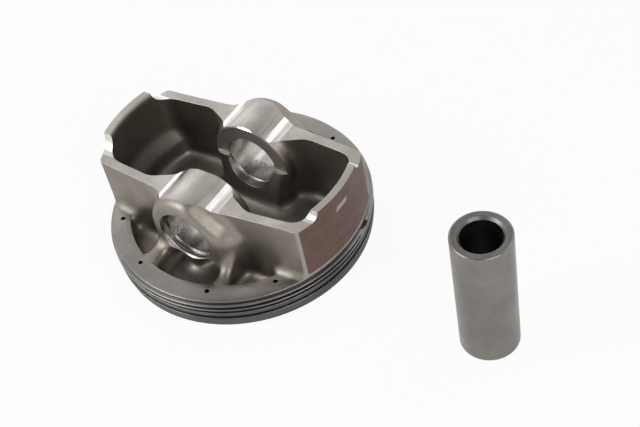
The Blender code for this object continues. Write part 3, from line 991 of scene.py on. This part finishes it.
@dataclass
class RingPack:
    """Two compression rings, two oil rails and the toothed expander between them."""

    sizes: Sizes = SIZES
    cylinder_radius: float = 0.0524
    ring_width: float = 0.0038
    ring_height: float = 0.0012
    side_gap: float = 0.00015
    bulges: Triple = (0.00012, 0.00010, 0.00022)
    face_rows: int = 6
    spring_out: float = 0.0002
    rail_height: float = 0.0006
    rail_width: float = 0.0031
    rail_spring_out: float = 0.0006
    end_gap: float = 0.0050
    gap_angles: tuple[float, float, float, float] = (128.0, 196.0, 76.0, 12.0)
    steps: int = 240
    teeth: int = 56
    tooth_shares: tuple[float, ...] = (0.0, 0.06, 0.10, 0.50, 0.54, 0.60, 0.80)
    tooth_round: float = 0.0004
    expander_inset: float = 0.0007
    expander_band: float = 0.0013
    expander_back: float = 0.0005

    def hoop(self, name: str, section: Sequence[Point], gap_angle: float, finish: Material) -> Thing:
        """Sweep a section round the piston and leave the end gap open.

        Args:
            name: Name of the piece.
            section: The ring's section as (radius, height) points.
            gap_angle: Direction of the middle of the gap, in degrees.
            finish: Its material.

        Returns:
            The ring.
        """
        outer = max(radius for radius, _ in section)
        half = self.end_gap / 2 / outer
        work = bmesh.new()
        verts = [work.verts.new((radius, 0.0, height)) for radius, height in section]
        face = work.faces.new(verts)
        bmesh.ops.rotate(work, verts=verts, matrix=Matrix.Rotation(math.radians(gap_angle) + half, 3, "Z"))
        bmesh.ops.spin(
            work,
            geom=[face],
            cent=(0, 0, 0),
            axis=(0, 0, 1),
            angle=2 * math.pi - 2 * half,
            steps=self.steps,
            use_merge=False,
            use_duplicate=False,
        )
        return Solid(name, work, finish).shade()

    def barrel(self, inner: float, outer: float, low: float, high: float, bulge: float) -> list[Point]:
        """Section of a ring whose face is slightly rounded.

        Args:
            inner: Inner radius.
            outer: Outer radius.
            low: Height of the lower side.
            high: Height of the upper side.
            bulge: How far the face's middle stands proud of its edges.

        Returns:
            The section.
        """
        face = []
        for index in range(self.face_rows + 1):
            share = 1 - 2 * index / self.face_rows
            height = (low + high) / 2 + share * (high - low) / 2
            face.append((outer - bulge * share**4, height))
        return [*face, (inner, low), (inner, high)]

    def expander(self, finish: Material) -> Thing:
        """The formed spring strip: rounded teeth on a thin band.

        Args:
            finish: Its material.

        Returns:
            The expander.
        """
        size = self.sizes
        low = size.oil_groove + 2 * self.side_gap + self.rail_height
        high = size.oil_groove + size.oil_groove_height - 2 * self.side_gap - self.rail_height
        inner = size.oil_groove_root + self.expander_back
        tip = size.land_radius - self.expander_inset
        valley = inner + self.expander_band
        shoulder = tip - self.tooth_round
        radii = (valley, shoulder, tip, tip, shoulder, valley, valley)
        outline: list[Point] = []
        for index in range(self.teeth):
            for share, radius in zip(self.tooth_shares, radii):
                angle = (index + share) * 2 * math.pi / self.teeth
                outline.append((radius * math.cos(angle), radius * math.sin(angle)))
        band = Solid.prism("oil_expander_fine", outline, low, high, Axis.Z, finish)
        top = high + size.overlap
        foot = low - size.overlap
        profile = [(0.0, top), (inner, top), (inner, foot), (0.0, foot)]
        band.cut(Solid.turned("expander bore", profile, self.steps, finish))
        return band.shade()

    def build(self, finishes: RingFinishes) -> dict[str, Thing]:
        """Make every ring.

        Args:
            finishes: The materials of the rings.

        Returns:
            Each fine piece under the name of the node that it stands for.
        """
        size = self.sizes
        ring = (self.cylinder_radius + self.spring_out, self.ring_width, self.ring_height)
        rail = (self.cylinder_radius + self.rail_spring_out, self.rail_width, self.rail_height)
        oil_top = size.oil_groove + size.oil_groove_height
        rows = (
            ("top_ring", size.top_groove + self.side_gap, ring, self.bulges[0], finishes.top),
            ("second_ring", size.second_groove + self.side_gap, ring, self.bulges[1], finishes.second),
            ("oil_rail_lower", size.oil_groove + self.side_gap, rail, self.bulges[2], finishes.rail),
            ("oil_rail_upper", oil_top - self.side_gap - rail[2], rail, self.bulges[2], finishes.rail),
        )
        made = {}
        for (node, low, (outer, width, height), bulge, finish), gap in zip(rows, self.gap_angles):
            section = self.barrel(outer - width, outer, low, low + height, bulge)
            made[node] = self.hoop(f"{node}_fine", section, gap, finish)
        made["oil_expander"] = self.expander(finishes.expander)
        return made


@dataclass
class WristPin:
    """The hollow pin that stands beside the piston."""

    radius: float = 0.0110
    bore: float = 0.0075
    length: float = 0.0559
    edge: float = 0.0006
    edge_slack: float = 1.05
    mouth: float = 0.0010
    place: Point = (0.1145, -0.0071)
    steps: int = 160

    def build(self, ground: Material, end: Material) -> Thing:
        """Turn the pin.

        Args:
            ground: Material of the ground and lapped outside.
            end: Material of the ends and of the drilled inside.

        Returns:
            The pin.
        """
        crown = arc((self.radius - self.edge, self.length - self.edge), self.edge, math.pi / 2, 0.0)
        foot = [(radius, self.length - height) for radius, height in reversed(crown)]
        profile = [
            *crown,
            *foot,
            (self.bore + self.mouth, 0.0),
            (self.bore, self.mouth),
            (self.bore, self.length - self.mouth),
            (self.bore + self.mouth, self.length),
        ]
        pin = Solid.turned("wrist_pin_fine", profile, self.steps, ground, closed=True)
        inside = self.radius - self.edge * self.edge_slack
        pin.refinish(end, lambda middle, _normal: math.hypot(middle.x, middle.y) < inside)
        return pin.moved(Matrix.Translation((*self.place, 0.0))).shade()


class Socket:
    """An output of a node, with Python's operators for maths."""

    def __init__(self, graph: Graph, output: bpy.types.NodeSocket) -> None:
        """Wrap an output of a node of the graph."""
        self.graph = graph
        self.output = output

    def _math(self, operation: str, *values: object) -> Socket:
        """Add a Math node on the given values."""
        return self.graph.add("ShaderNodeMath", 0, {"operation": operation}, dict(enumerate(values)))

    def __add__(self, other: object) -> Socket:
        """Sum."""
        return self._math("ADD", self, other)

    def __radd__(self, other: object) -> Socket:
        """Sum with the socket on the right."""
        return self._math("ADD", other, self)

    def __sub__(self, other: object) -> Socket:
        """Difference."""
        return self._math("SUBTRACT", self, other)

    def __rsub__(self, other: object) -> Socket:
        """Difference with the socket on the right."""
        return self._math("SUBTRACT", other, self)

    def __mul__(self, other: object) -> Socket:
        """Product."""
        return self._math("MULTIPLY", self, other)

    def __rmul__(self, other: object) -> Socket:
        """Product with the socket on the right."""
        return self._math("MULTIPLY", other, self)

    def __abs__(self) -> Socket:
        """Absolute value."""
        return self._math("ABSOLUTE", self)

    def sine(self) -> Socket:
        """Sine of the value in radians."""
        return self._math("SINE", self)

    def root(self) -> Socket:
        """Square root."""
        return self._math("SQRT", self)

    def bearing(self, across: object) -> Socket:
        """Angle whose tangent is the value divided by another."""
        return self._math("ARCTAN2", self, across)

    def greatest(self, other: object) -> Socket:
        """The greater of two values."""
        return self._math("MAXIMUM", self, other)

    def step(self, low: float, high: float) -> Socket:
        """Rise softly from 0 at low to 1 at high."""
        settings = {"interpolation_type": "SMOOTHSTEP"}
        return self.graph.add("ShaderNodeMapRange", 0, settings, {0: self, 1: low, 2: high})

    def band(self, low: float, high: float, edge: float) -> Socket:
        """Rise softly past low and fall back to 0 past high, each over the edge's width."""
        return self.step(low, low + edge) * (1.0 - self.step(high, high + edge))

    def spread(self, low: float, high: float) -> Socket:
        """Stretch 0 to 1 over a new range."""
        return self.graph.add("ShaderNodeMapRange", 0, {}, {0: self, 3: low, 4: high})


class Graph:
    """The nodes of one material."""

    def __init__(self, name: str, world: bpy.types.World | None = None) -> None:
        """Start a material with a Principled shader, or work on a world.

        Args:
            name: Name of the material.
            world: The world, whose shader is its Background.
        """
        self.material = world or bpy.data.materials.new(name)
        self.material.use_nodes = True
        self.tree = self.material.node_tree
        self.shader = self.tree.nodes["Background" if world else "Principled BSDF"]

    def add(
        self,
        kind: str,
        output: int | str,
        settings: dict[str, object],
        inputs: dict[int | str, object],
    ) -> Socket:
        """Add any node.

        Args:
            kind: The node's type.
            output: Name or number of the output that is wanted.
            settings: The node's own settings, with a ramp's stops under "stops".
            inputs: Values or sockets for its inputs, by name or number.

        Returns:
            The wanted output.
        """
        node = self.tree.nodes.new(kind)
        for key, value in settings.items():
            if key == "stops":
                elements = node.color_ramp.elements
                for index, (place, colour) in enumerate(value):
                    stop = elements[index] if index < 2 else elements.new(place)
                    stop.position = place
                    stop.color = (*colour, 1.0)
            else:
                setattr(node, key, value)
        for key, value in inputs.items():
            self.feed(node.inputs[key], value)
        return Socket(self, node.outputs[output])

    def feed(self, place: bpy.types.NodeSocket, value: object) -> None:
        """Link a socket, or set a number or colour, on an input.

        Args:
            place: The input.
            value: What it gets.
        """
        if isinstance(value, Socket):
            self.tree.links.new(value.output, place)
        elif isinstance(value, tuple) and place.type == "RGBA":
            place.default_value = (*value, 1.0)
        else:
            place.default_value = value

    def set(self, name: str, value: object) -> None:
        """Set or link an input of the Principled shader."""
        self.feed(self.shader.inputs[name], value)

    def coordinates(self) -> Socket:
        """Object coordinates."""
        return self.add("ShaderNodeTexCoord", "Object", {}, {})

    def parts(self, vector: Socket) -> tuple[Socket, Socket, Socket]:
        """The three numbers of a vector.

        Args:
            vector: The vector.

        Returns:
            Its x, y and z.
        """
        split = self.add("ShaderNodeSeparateXYZ", 0, {}, {0: vector})
        x, y, z = (Socket(self, output) for output in split.output.node.outputs)
        return x, y, z

    def noise(self, size: float, detail: float = 3.0, stretch: Triple = (1, 1, 1)) -> Socket:
        """Noise whose blotches are about size metres across.

        Args:
            size: Size of a blotch.
            detail: How many finer layers it has.
            stretch: How much finer it is along each axis.

        Returns:
            A value about 0.5 that varies between 0 and 1.
        """
        place = self.add("ShaderNodeMapping", 0, {}, {"Vector": self.coordinates(), "Scale": stretch})
        inputs = {"Vector": place, "Scale": 1.0 / size, "Detail": detail, "Roughness": NOISE_ROUGHNESS}
        return self.add("ShaderNodeTexNoise", 0, {}, inputs)

    def blend(self, mask: object, first: object, second: object) -> Socket:
        """Mix two colours by a mask."""
        return self.add("ShaderNodeMix", 2, {"data_type": "RGBA"}, {0: mask, 6: first, 7: second})

    def edges(self, reach: float) -> Socket:
        """Mask of the places near a sharp edge.

        Args:
            reach: How wide the edge's zone is.

        Returns:
            0 on flats, up to 1 on edges.
        """
        plain = self.add("ShaderNodeNewGeometry", "Normal", {}, {})
        return (1.0 - self.dot(self.soften(reach), plain)).step(0.0, EDGE_MATCH)

    def dot(self, first: Socket, second: object) -> Socket:
        """Dot product of two vectors."""
        settings = {"operation": "DOT_PRODUCT"}
        return self.add("ShaderNodeVectorMath", "Value", settings, {0: first, 1: second})

    def soften(self, reach: float) -> Socket:
        """A normal that rounds the edges."""
        return self.add("ShaderNodeBevel", 0, {"samples": BEVEL_SAMPLES}, {"Radius": reach})

    def bump(self, height: Socket, depth: float, normal: Socket) -> Socket:
        """Turn a height into a normal.

        Args:
            height: The height, from 0 to 1.
            depth: How deep 1 is, in metres.
            normal: The normal that it starts from.

        Returns:
            The new normal.
        """
        inputs = {"Height": height, "Distance": depth, "Strength": 1.0, "Normal": normal}
        return self.add("ShaderNodeBump", 0, {}, inputs)


@dataclass(frozen=True)
class Metal:
    """A bare metal surface with stains, grain, and a painted highlight that lightens its sharp edges."""

    name: str
    colour: Colour
    stain: Colour
    roughness: float
    stain_size: float = 0.014
    grain_size: float = 0.00035
    grain_depth: float = 0.00001
    edge_reach: float = 0.00035
    # Share and colour of the painted highlight on sharp edges.
    edge_highlight_share: float = 0.25
    edge_highlight_colour: Colour = (0.92, 0.90, 0.87)
    edge_polish: float = 0.10
    stain_range: Point = (0.35, 0.68)
    polish_range: Point = (1.12, 0.90)
    stain_detail: float = 4.0
    grain_detail: float = 2.0
    metallic: float = 1.0

    def relief(self, graph: Graph) -> Socket:
        """Height of the fine grain."""
        return graph.noise(self.grain_size, self.grain_detail)

    def tint(self, graph: Graph, colour: Socket) -> Socket:
        """Change the colour further; plain metal keeps it."""
        return colour

    def polish(self, graph: Graph, roughness: Socket) -> Socket:
        """Change the roughness further; plain metal keeps it."""
        return roughness

    def shine(self, graph: Graph) -> object:
        """How metallic the surface is."""
        return self.metallic

    def build(self) -> Material:
        """Make the material.

        Returns:
            The material.
        """
        graph = Graph(self.name)
        stains = graph.noise(self.stain_size, self.stain_detail).step(*self.stain_range)
        edges = graph.edges(self.edge_reach)
        stained = graph.blend(stains, self.stain, self.colour)
        # Painted highlight: sharp edges are blended towards a near-white colour.
        edge_highlighted = graph.blend(edges * self.edge_highlight_share, stained, self.edge_highlight_colour)
        graph.set("Base Color", self.tint(graph, edge_highlighted))
        roughness = stains.spread(*(self.roughness * share for share in self.polish_range))
        graph.set("Roughness", self.polish(graph, roughness - edges * self.edge_polish))
        graph.set("Metallic", self.shine(graph))
        graph.set("Normal", graph.bump(self.relief(graph), self.grain_depth, graph.soften(self.edge_reach)))
        return graph.material


@dataclass(frozen=True)
class Forged(Metal):
    """The forging's skin, with painted shade that darkens it towards the bottom of its hollows but leaves
    the struts out.
    """

    # Colour of the painted shade in the hollows.
    painted_shade: Colour = (0.235, 0.216, 0.193)
    painted_shade_share: float = 0.9
    hollow_reach: Point = (0.0205, 0.0225)
    inner_reach: Point = (0.0150, 0.0370)
    outer_reach: Point = (0.0100, 0.0215)
    drift_size: float = 0.012
    drift_depth: float = 0.006
    strut_bands: tuple[Point, ...] = ((-0.0183, -0.0105), (0.0139, 0.0195))
    strut_edge: float = 0.0014

    def tint(self, graph: Graph, colour: Socket) -> Socket:
        """Paint shade on the skin towards the bottom of each hollow, leaving out the struts.

        Args:
            graph: The material's nodes.
            colour: The colour so far.

        Returns:
            The new colour.
        """
        x, y, z = graph.parts(graph.coordinates())
        inside = 1.0 - abs(y).step(*self.hollow_reach)
        # The struts get no painted shade.
        unshaded_struts = sum(x.band(low, high, self.strut_edge) for low, high in self.strut_bands)
        height = z + (graph.noise(self.drift_size, self.grain_detail) - 0.5) * self.drift_depth
        deep_in = 1.0 - height.step(*self.inner_reach)
        deep_out = 1.0 - height.step(*self.outer_reach)
        deep = deep_in * inside + deep_out * (1.0 - inside) * (1.0 - unshaded_struts)
        # Painted shade: deep in the hollows the skin is blended towards a dark colour.
        return graph.blend(deep * self.painted_shade_share, colour, self.painted_shade)


@dataclass(frozen=True)
class Turned(Metal):
    """Turned metal with fine rings of tool marks about Z."""

    feed: float = 0.00022
    grain_depth: float = 0.000005
    mark_share: float = 0.35
    grain_share: float = 0.5

    def relief(self, graph: Graph) -> Socket:
        """Height of the tool marks, with a little grain.

        Args:
            graph: The material's nodes.

        Returns:
            The height.
        """
        x, y, z = graph.parts(graph.coordinates())
        radius = (x * x + y * y).root()
        marks = ((radius + z) * (2 * math.pi / self.feed)).sine()
        return marks * self.mark_share + super().relief(graph) * self.grain_share


@dataclass(frozen=True)
class Skirt(Turned):
    """The turned skirts under their dry coating, which leaves a small bare window, and the lands below the
    ledge, darkened by painted shade.
    """

    coating: Colour = (0.132, 0.069, 0.054)
    coating_worn: Colour = (0.172, 0.100, 0.083)
    coating_dull: float = 0.75
    # Colour, share and heights of the painted shade on the lands below the ledge.
    belt: Colour = (0.075, 0.072, 0.068)
    belt_shade_share: float = 0.8
    belt_shade_reach: Point = (0.0138, 0.0142)
    coated_reach: Point = (0.05205, 0.05215)
    coated_foot: Point = (0.0157, 0.0160)
    coated_dulling: float = 0.12
    haze_size: float = 0.006
    haze_range: Point = (0.3, 0.75)
    haze_stretch: Triple = (1.0, 1.0, 3.0)
    window_y: Point = (-0.0048, 0.0018)
    window_z: Point = (0.0349, 0.0369)
    window_lean: float = -0.5
    window_edge: float = 0.0004
    window_side: Point = (0.0, 0.001)

    def mask(self, graph: Graph) -> Socket:
        """Where the coating lies.

        Args:
            graph: The material's nodes.

        Returns:
            1 under the coating, 0 on bare metal.
        """
        x, y, z = graph.parts(graph.coordinates())
        radius = (x * x + y * y).root()
        cover = radius.step(*self.coated_reach) * z.step(*self.coated_foot)
        lean = y + (z - self.window_z[0]) * self.window_lean
        across = lean.band(*self.window_y, self.window_edge)
        up = z.band(*self.window_z, self.window_edge)
        return cover * (1.0 - across * up * x.step(*self.window_side))

    def tint(self, graph: Graph, colour: Socket) -> Socket:
        """Lay the coating's colour over the metal, and paint shade on the lands below the ledge.

        Args:
            graph: The material's nodes.
            colour: The colour so far.

        Returns:
            The new colour.
        """
        haze = graph.noise(self.haze_size, self.stain_detail, self.haze_stretch).step(*self.haze_range)
        coat = graph.blend(haze, self.coating, self.coating_worn)
        # Painted shade: the lands under the ledge are blended towards a near-black colour.
        low = 1.0 - graph.parts(graph.coordinates())[2].step(*self.belt_shade_reach)
        return graph.blend(self.mask(graph), graph.blend(low * self.belt_shade_share, colour, self.belt), coat)

    def polish(self, graph: Graph, roughness: Socket) -> Socket:
        """The coating is duller than the metal."""
        return roughness + self.mask(graph) * self.coated_dulling

    def shine(self, graph: Graph) -> Socket:
        """The coating isn't metal."""
        return 1.0 - self.mask(graph) * self.coating_dull


@dataclass(frozen=True)
class Honed(Metal):
    """A honed bore with crossing scratches and specks of oil."""

    pitch: float = 0.0011
    mark_range: Point = (0.55, 1.0)
    mark_depth: float = 0.7
    mark_share: float = 0.18
    speck_size: float = 0.0007
    speck_range: Point = (0.55, 0.62)
    speck_share: float = 0.75
    patch_size: float = 0.006
    patch_range: Point = (0.50, 0.60)
    oil: Colour = (0.05, 0.045, 0.04)

    def scratches(self, graph: Graph) -> Socket:
        """Two crossing families of hone marks.

        Args:
            graph: The material's nodes.

        Returns:
            1 in a mark, 0 beside it.
        """
        x, y, z = graph.parts(graph.coordinates())
        turn = (z - SIZES.pin_axis).bearing(x) * SIZES.pin_bore
        rate = 2 * math.pi / self.pitch
        first = ((turn + y) * rate).sine()
        second = ((turn - y) * rate).sine()
        return first.greatest(second).step(*self.mark_range)

    def relief(self, graph: Graph) -> Socket:
        """Height of the hone marks."""
        return 1.0 - self.scratches(graph) * self.mark_depth

    def tint(self, graph: Graph, colour: Socket) -> Socket:
        """Darken the scratches and the specks.

        Args:
            graph: The material's nodes.
            colour: The colour so far.

        Returns:
            The new colour.
        """
        patch = graph.noise(self.patch_size, 1.0).step(*self.patch_range)
        speck = graph.noise(self.speck_size, 1.0).step(*self.speck_range) * patch
        dark = (speck * self.speck_share).greatest(self.scratches(graph) * self.mark_share)
        return graph.blend(dark, colour, self.oil)


@dataclass(frozen=True)
class BodyFinishes:
    """The surfaces of the piston body."""

    forged: Material
    milled: Material
    bright: Material
    turned: Material
    faced: Material
    bored: Material
    drilled: Material

    @classmethod
    def make(cls) -> BodyFinishes:
        """Build each surface's material.

        Returns:
            The finishes.
        """
        light = (0.50, 0.475, 0.445)
        grey = (0.40, 0.375, 0.35)
        skin = Forged("forged skin with painted shade", (0.375, 0.34, 0.30), (0.30, 0.27, 0.235), 0.42, grain_depth=0.00003)
        # Fillets, ramps and broken edges: a smoother milled finish, which is real, with a near-white base
        # colour that is a painted highlight.
        curve = Metal("milled curve with painted highlight", (0.84, 0.825, 0.80), (0.76, 0.745, 0.72), 0.22, stain_size=0.020)
        return cls(
            forged=skin.build(),
            milled=Metal("milled face", light, grey, 0.47, stain_size=0.020).build(),
            bright=curve.build(),
            turned=Skirt("turned and coated with painted shade on the lands", light, grey, 0.34).build(),
            # The faced ledge's darker base colour is painted shade, standing for the dim walls that it
            # reflects.
            faced=Turned("faced ledge with painted shade", (0.32, 0.305, 0.285), (0.255, 0.24, 0.225), 0.22).build(),
            bored=Honed("honed bore", (0.62, 0.60, 0.57), (0.50, 0.48, 0.46), 0.20).build(),
            # The drilled holes' near-black base colour is painted shade inside them.
            drilled=Metal("drilled hole with painted shade", (0.10, 0.095, 0.09), (0.06, 0.055, 0.05), 0.5).build(),
        )


@dataclass(frozen=True)
class RingFinishes:
    """The surfaces of the rings."""

    top: Material
    second: Material
    rail: Material
    expander: Material

    @classmethod
    def make(cls) -> RingFinishes:
        """Build each ring's material.

        Returns:
            The finishes.
        """
        return cls(
            top=Turned("nitrided ring", (0.16, 0.16, 0.165), (0.11, 0.11, 0.115), 0.34).build(),
            second=Turned("phosphated ring", (0.19, 0.185, 0.18), (0.12, 0.12, 0.12), 0.42).build(),
            rail=Turned("rolled rail", (0.32, 0.31, 0.30), (0.22, 0.215, 0.21), 0.30).build(),
            expander=Metal("spring strip", (0.30, 0.29, 0.28), (0.16, 0.155, 0.15), 0.35).build(),
        )


@dataclass
class Studio:
    """The pale bench, the soft lamps, the white surround and the camera."""

    floor_half: float = 3.0
    floor_colour: Colour = (0.92, 0.92, 0.915)
    floor_roughness: float = 0.9
    target: Triple = (0.045, 0.0, 0.02)
    lens: float = 72.294
    sensor: float = 36.0
    camera_rows: tuple[tuple[float, float, float, float], ...] = (
        (0.8313, -0.3123, 0.4598, 0.2635),
        (0.5353, 0.6728, -0.5107, -0.2480),
        (-0.1499, 0.6707, 0.7265, 0.3774),
    )
    floor_show: float = 0.93
    floor_mirrored: float = 0.30
    room_colour: Colour = (1.0, 0.99, 0.975)
    plain_light: float = 0.40
    room_light: float = 1.0
    dim_side: Triple = (0.47, -0.51, 0.72)
    dim_depth: float = 0.55
    dim_start: float = 0.25
    ceiling_depth: float = 0.30
    ceiling_start: float = 0.45
    lamps: tuple[tuple[str, Triple, float, float], ...] = (
        ("key", (-0.45, -0.55, 0.60), 0.60, 3.0),
        ("fill", (0.75, -0.35, 0.55), 0.60, 2.5),
        ("low left", (-0.75, 0.50, 0.40), 0.42, 0.7),
        ("high back", (0.34, 0.50, 0.80), 0.30, 0.25),
    )

    def surround(self) -> None:
        """White behind the object; in its reflections, a room that is dimmer on the camera's side."""
        world = bpy.data.worlds.new("surround")
        bpy.context.scene.world = world
        graph = Graph("surround", world)
        graph.set("Color", self.room_colour)
        rays = graph.add("ShaderNodeLightPath", "Is Camera Ray", {}, {})
        outputs = rays.output.node.outputs
        seen = rays.greatest(Socket(graph, outputs["Is Transmission Ray"]))
        glossy = Socket(graph, outputs["Is Glossy Ray"])
        direction = graph.add("ShaderNodeTexCoord", "Generated", {}, {})
        near = graph.dot(direction, self.dim_side).step(self.dim_start, 1.0)
        ceiling = graph.parts(direction)[2].step(self.ceiling_start, 1.0)
        room = self.room_light - near * self.dim_depth - ceiling * self.ceiling_depth
        graph.set("Strength", seen.greatest(self.plain_light + glossy * (room - self.plain_light)))

    def bench(self) -> None:
        """The pale floor, which keeps the object's soft shadow."""
        work = bmesh.new()
        bmesh.ops.create_grid(work, x_segments=1, y_segments=1, size=self.floor_half)
        mesh = bpy.data.meshes.new("bench")
        work.to_mesh(mesh)
        work.free()
        floor = bpy.data.objects.new("bench", mesh)
        bpy.context.scene.collection.objects.link(floor)
        graph = Graph("pale bench")
        graph.set("Base Color", self.floor_colour)
        graph.set("Roughness", self.floor_roughness)
        seen = graph.add("ShaderNodeLightPath", "Is Camera Ray", {}, {})
        glossy = Socket(graph, seen.output.node.outputs["Is Glossy Ray"])
        glow = graph.add("ShaderNodeEmission", 0, {}, {"Color": (1.0, 1.0, 1.0), "Strength": 1.0})
        shader = Socket(graph, graph.shader.outputs[0])
        share = seen * self.floor_show + glossy * self.floor_mirrored
        mixed = graph.add("ShaderNodeMixShader", 0, {}, {0: share, 1: shader, 2: glow})
        graph.tree.links.new(mixed.output, graph.tree.nodes["Material Output"].inputs["Surface"])
        mesh.materials.append(graph.material)

    def light(self) -> None:
        """Soft boxes round the object."""
        for name, place, size, power in self.lamps:
            data = bpy.data.lights.new(name, "AREA")
            data.shape = "SQUARE"
            data.size = size
            data.energy = power
            lamp = bpy.data.objects.new(name, data)
            bpy.context.scene.collection.objects.link(lamp)
            lamp.location = place
            lamp.rotation_euler = (Vector(place) - Vector(self.target)).to_track_quat("Z", "Y").to_euler()

    def camera(self) -> None:
        """The camera at the photograph's angle."""
        data = bpy.data.cameras.new("camera")
        data.lens = self.lens
        data.sensor_width = self.sensor
        data.sensor_fit = "HORIZONTAL"
        camera = bpy.data.objects.new("camera", data)
        bpy.context.scene.collection.objects.link(camera)
        camera.matrix_world = Matrix((*self.camera_rows, (0.0, 0.0, 0.0, 1.0)))
        bpy.context.scene.camera = camera

    def build(self) -> None:
        """Set everything up."""
        self.surround()
        self.bench()
        self.light()
        self.camera()
        bpy.context.scene.view_settings.view_transform = "Standard"


def settle(piece: Thing, node: str, body: str) -> None:
    """Tell the frame what a finished piece stands for.

    Args:
        piece: The piece.
        node: The CAD node that it replaces.
        body: The body that it rides on.
    """
    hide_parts(node)
    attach(piece, body)
    triangles = sum(len(face.vertices) - 2 for face in piece.data.polygons)
    LOG.info("%s: %d triangles on %s", piece.name, triangles, body)


def main() -> None:
    """Build the studio and every piece."""
    logging.basicConfig(level=logging.INFO, format="%(message)s")
    Studio().build()
    body = Machining(Forging(), BodyFinishes.make()).build()
    body.name = "piston_body_fine"
    settle(body, "piston_body", "piston")
    for node, ring in RingPack().build(RingFinishes.make()).items():
        settle(ring, node, node)
    ground = Metal("ground pin", (0.30, 0.285, 0.265), (0.235, 0.22, 0.205), 0.24, stain_size=0.02).build()
    end = Turned("pin end", (0.22, 0.215, 0.21), (0.15, 0.145, 0.14), 0.34).build()
    settle(WristPin().build(ground, end), "wrist_pin", "piston")


if __name__ == "__main__":
    main()
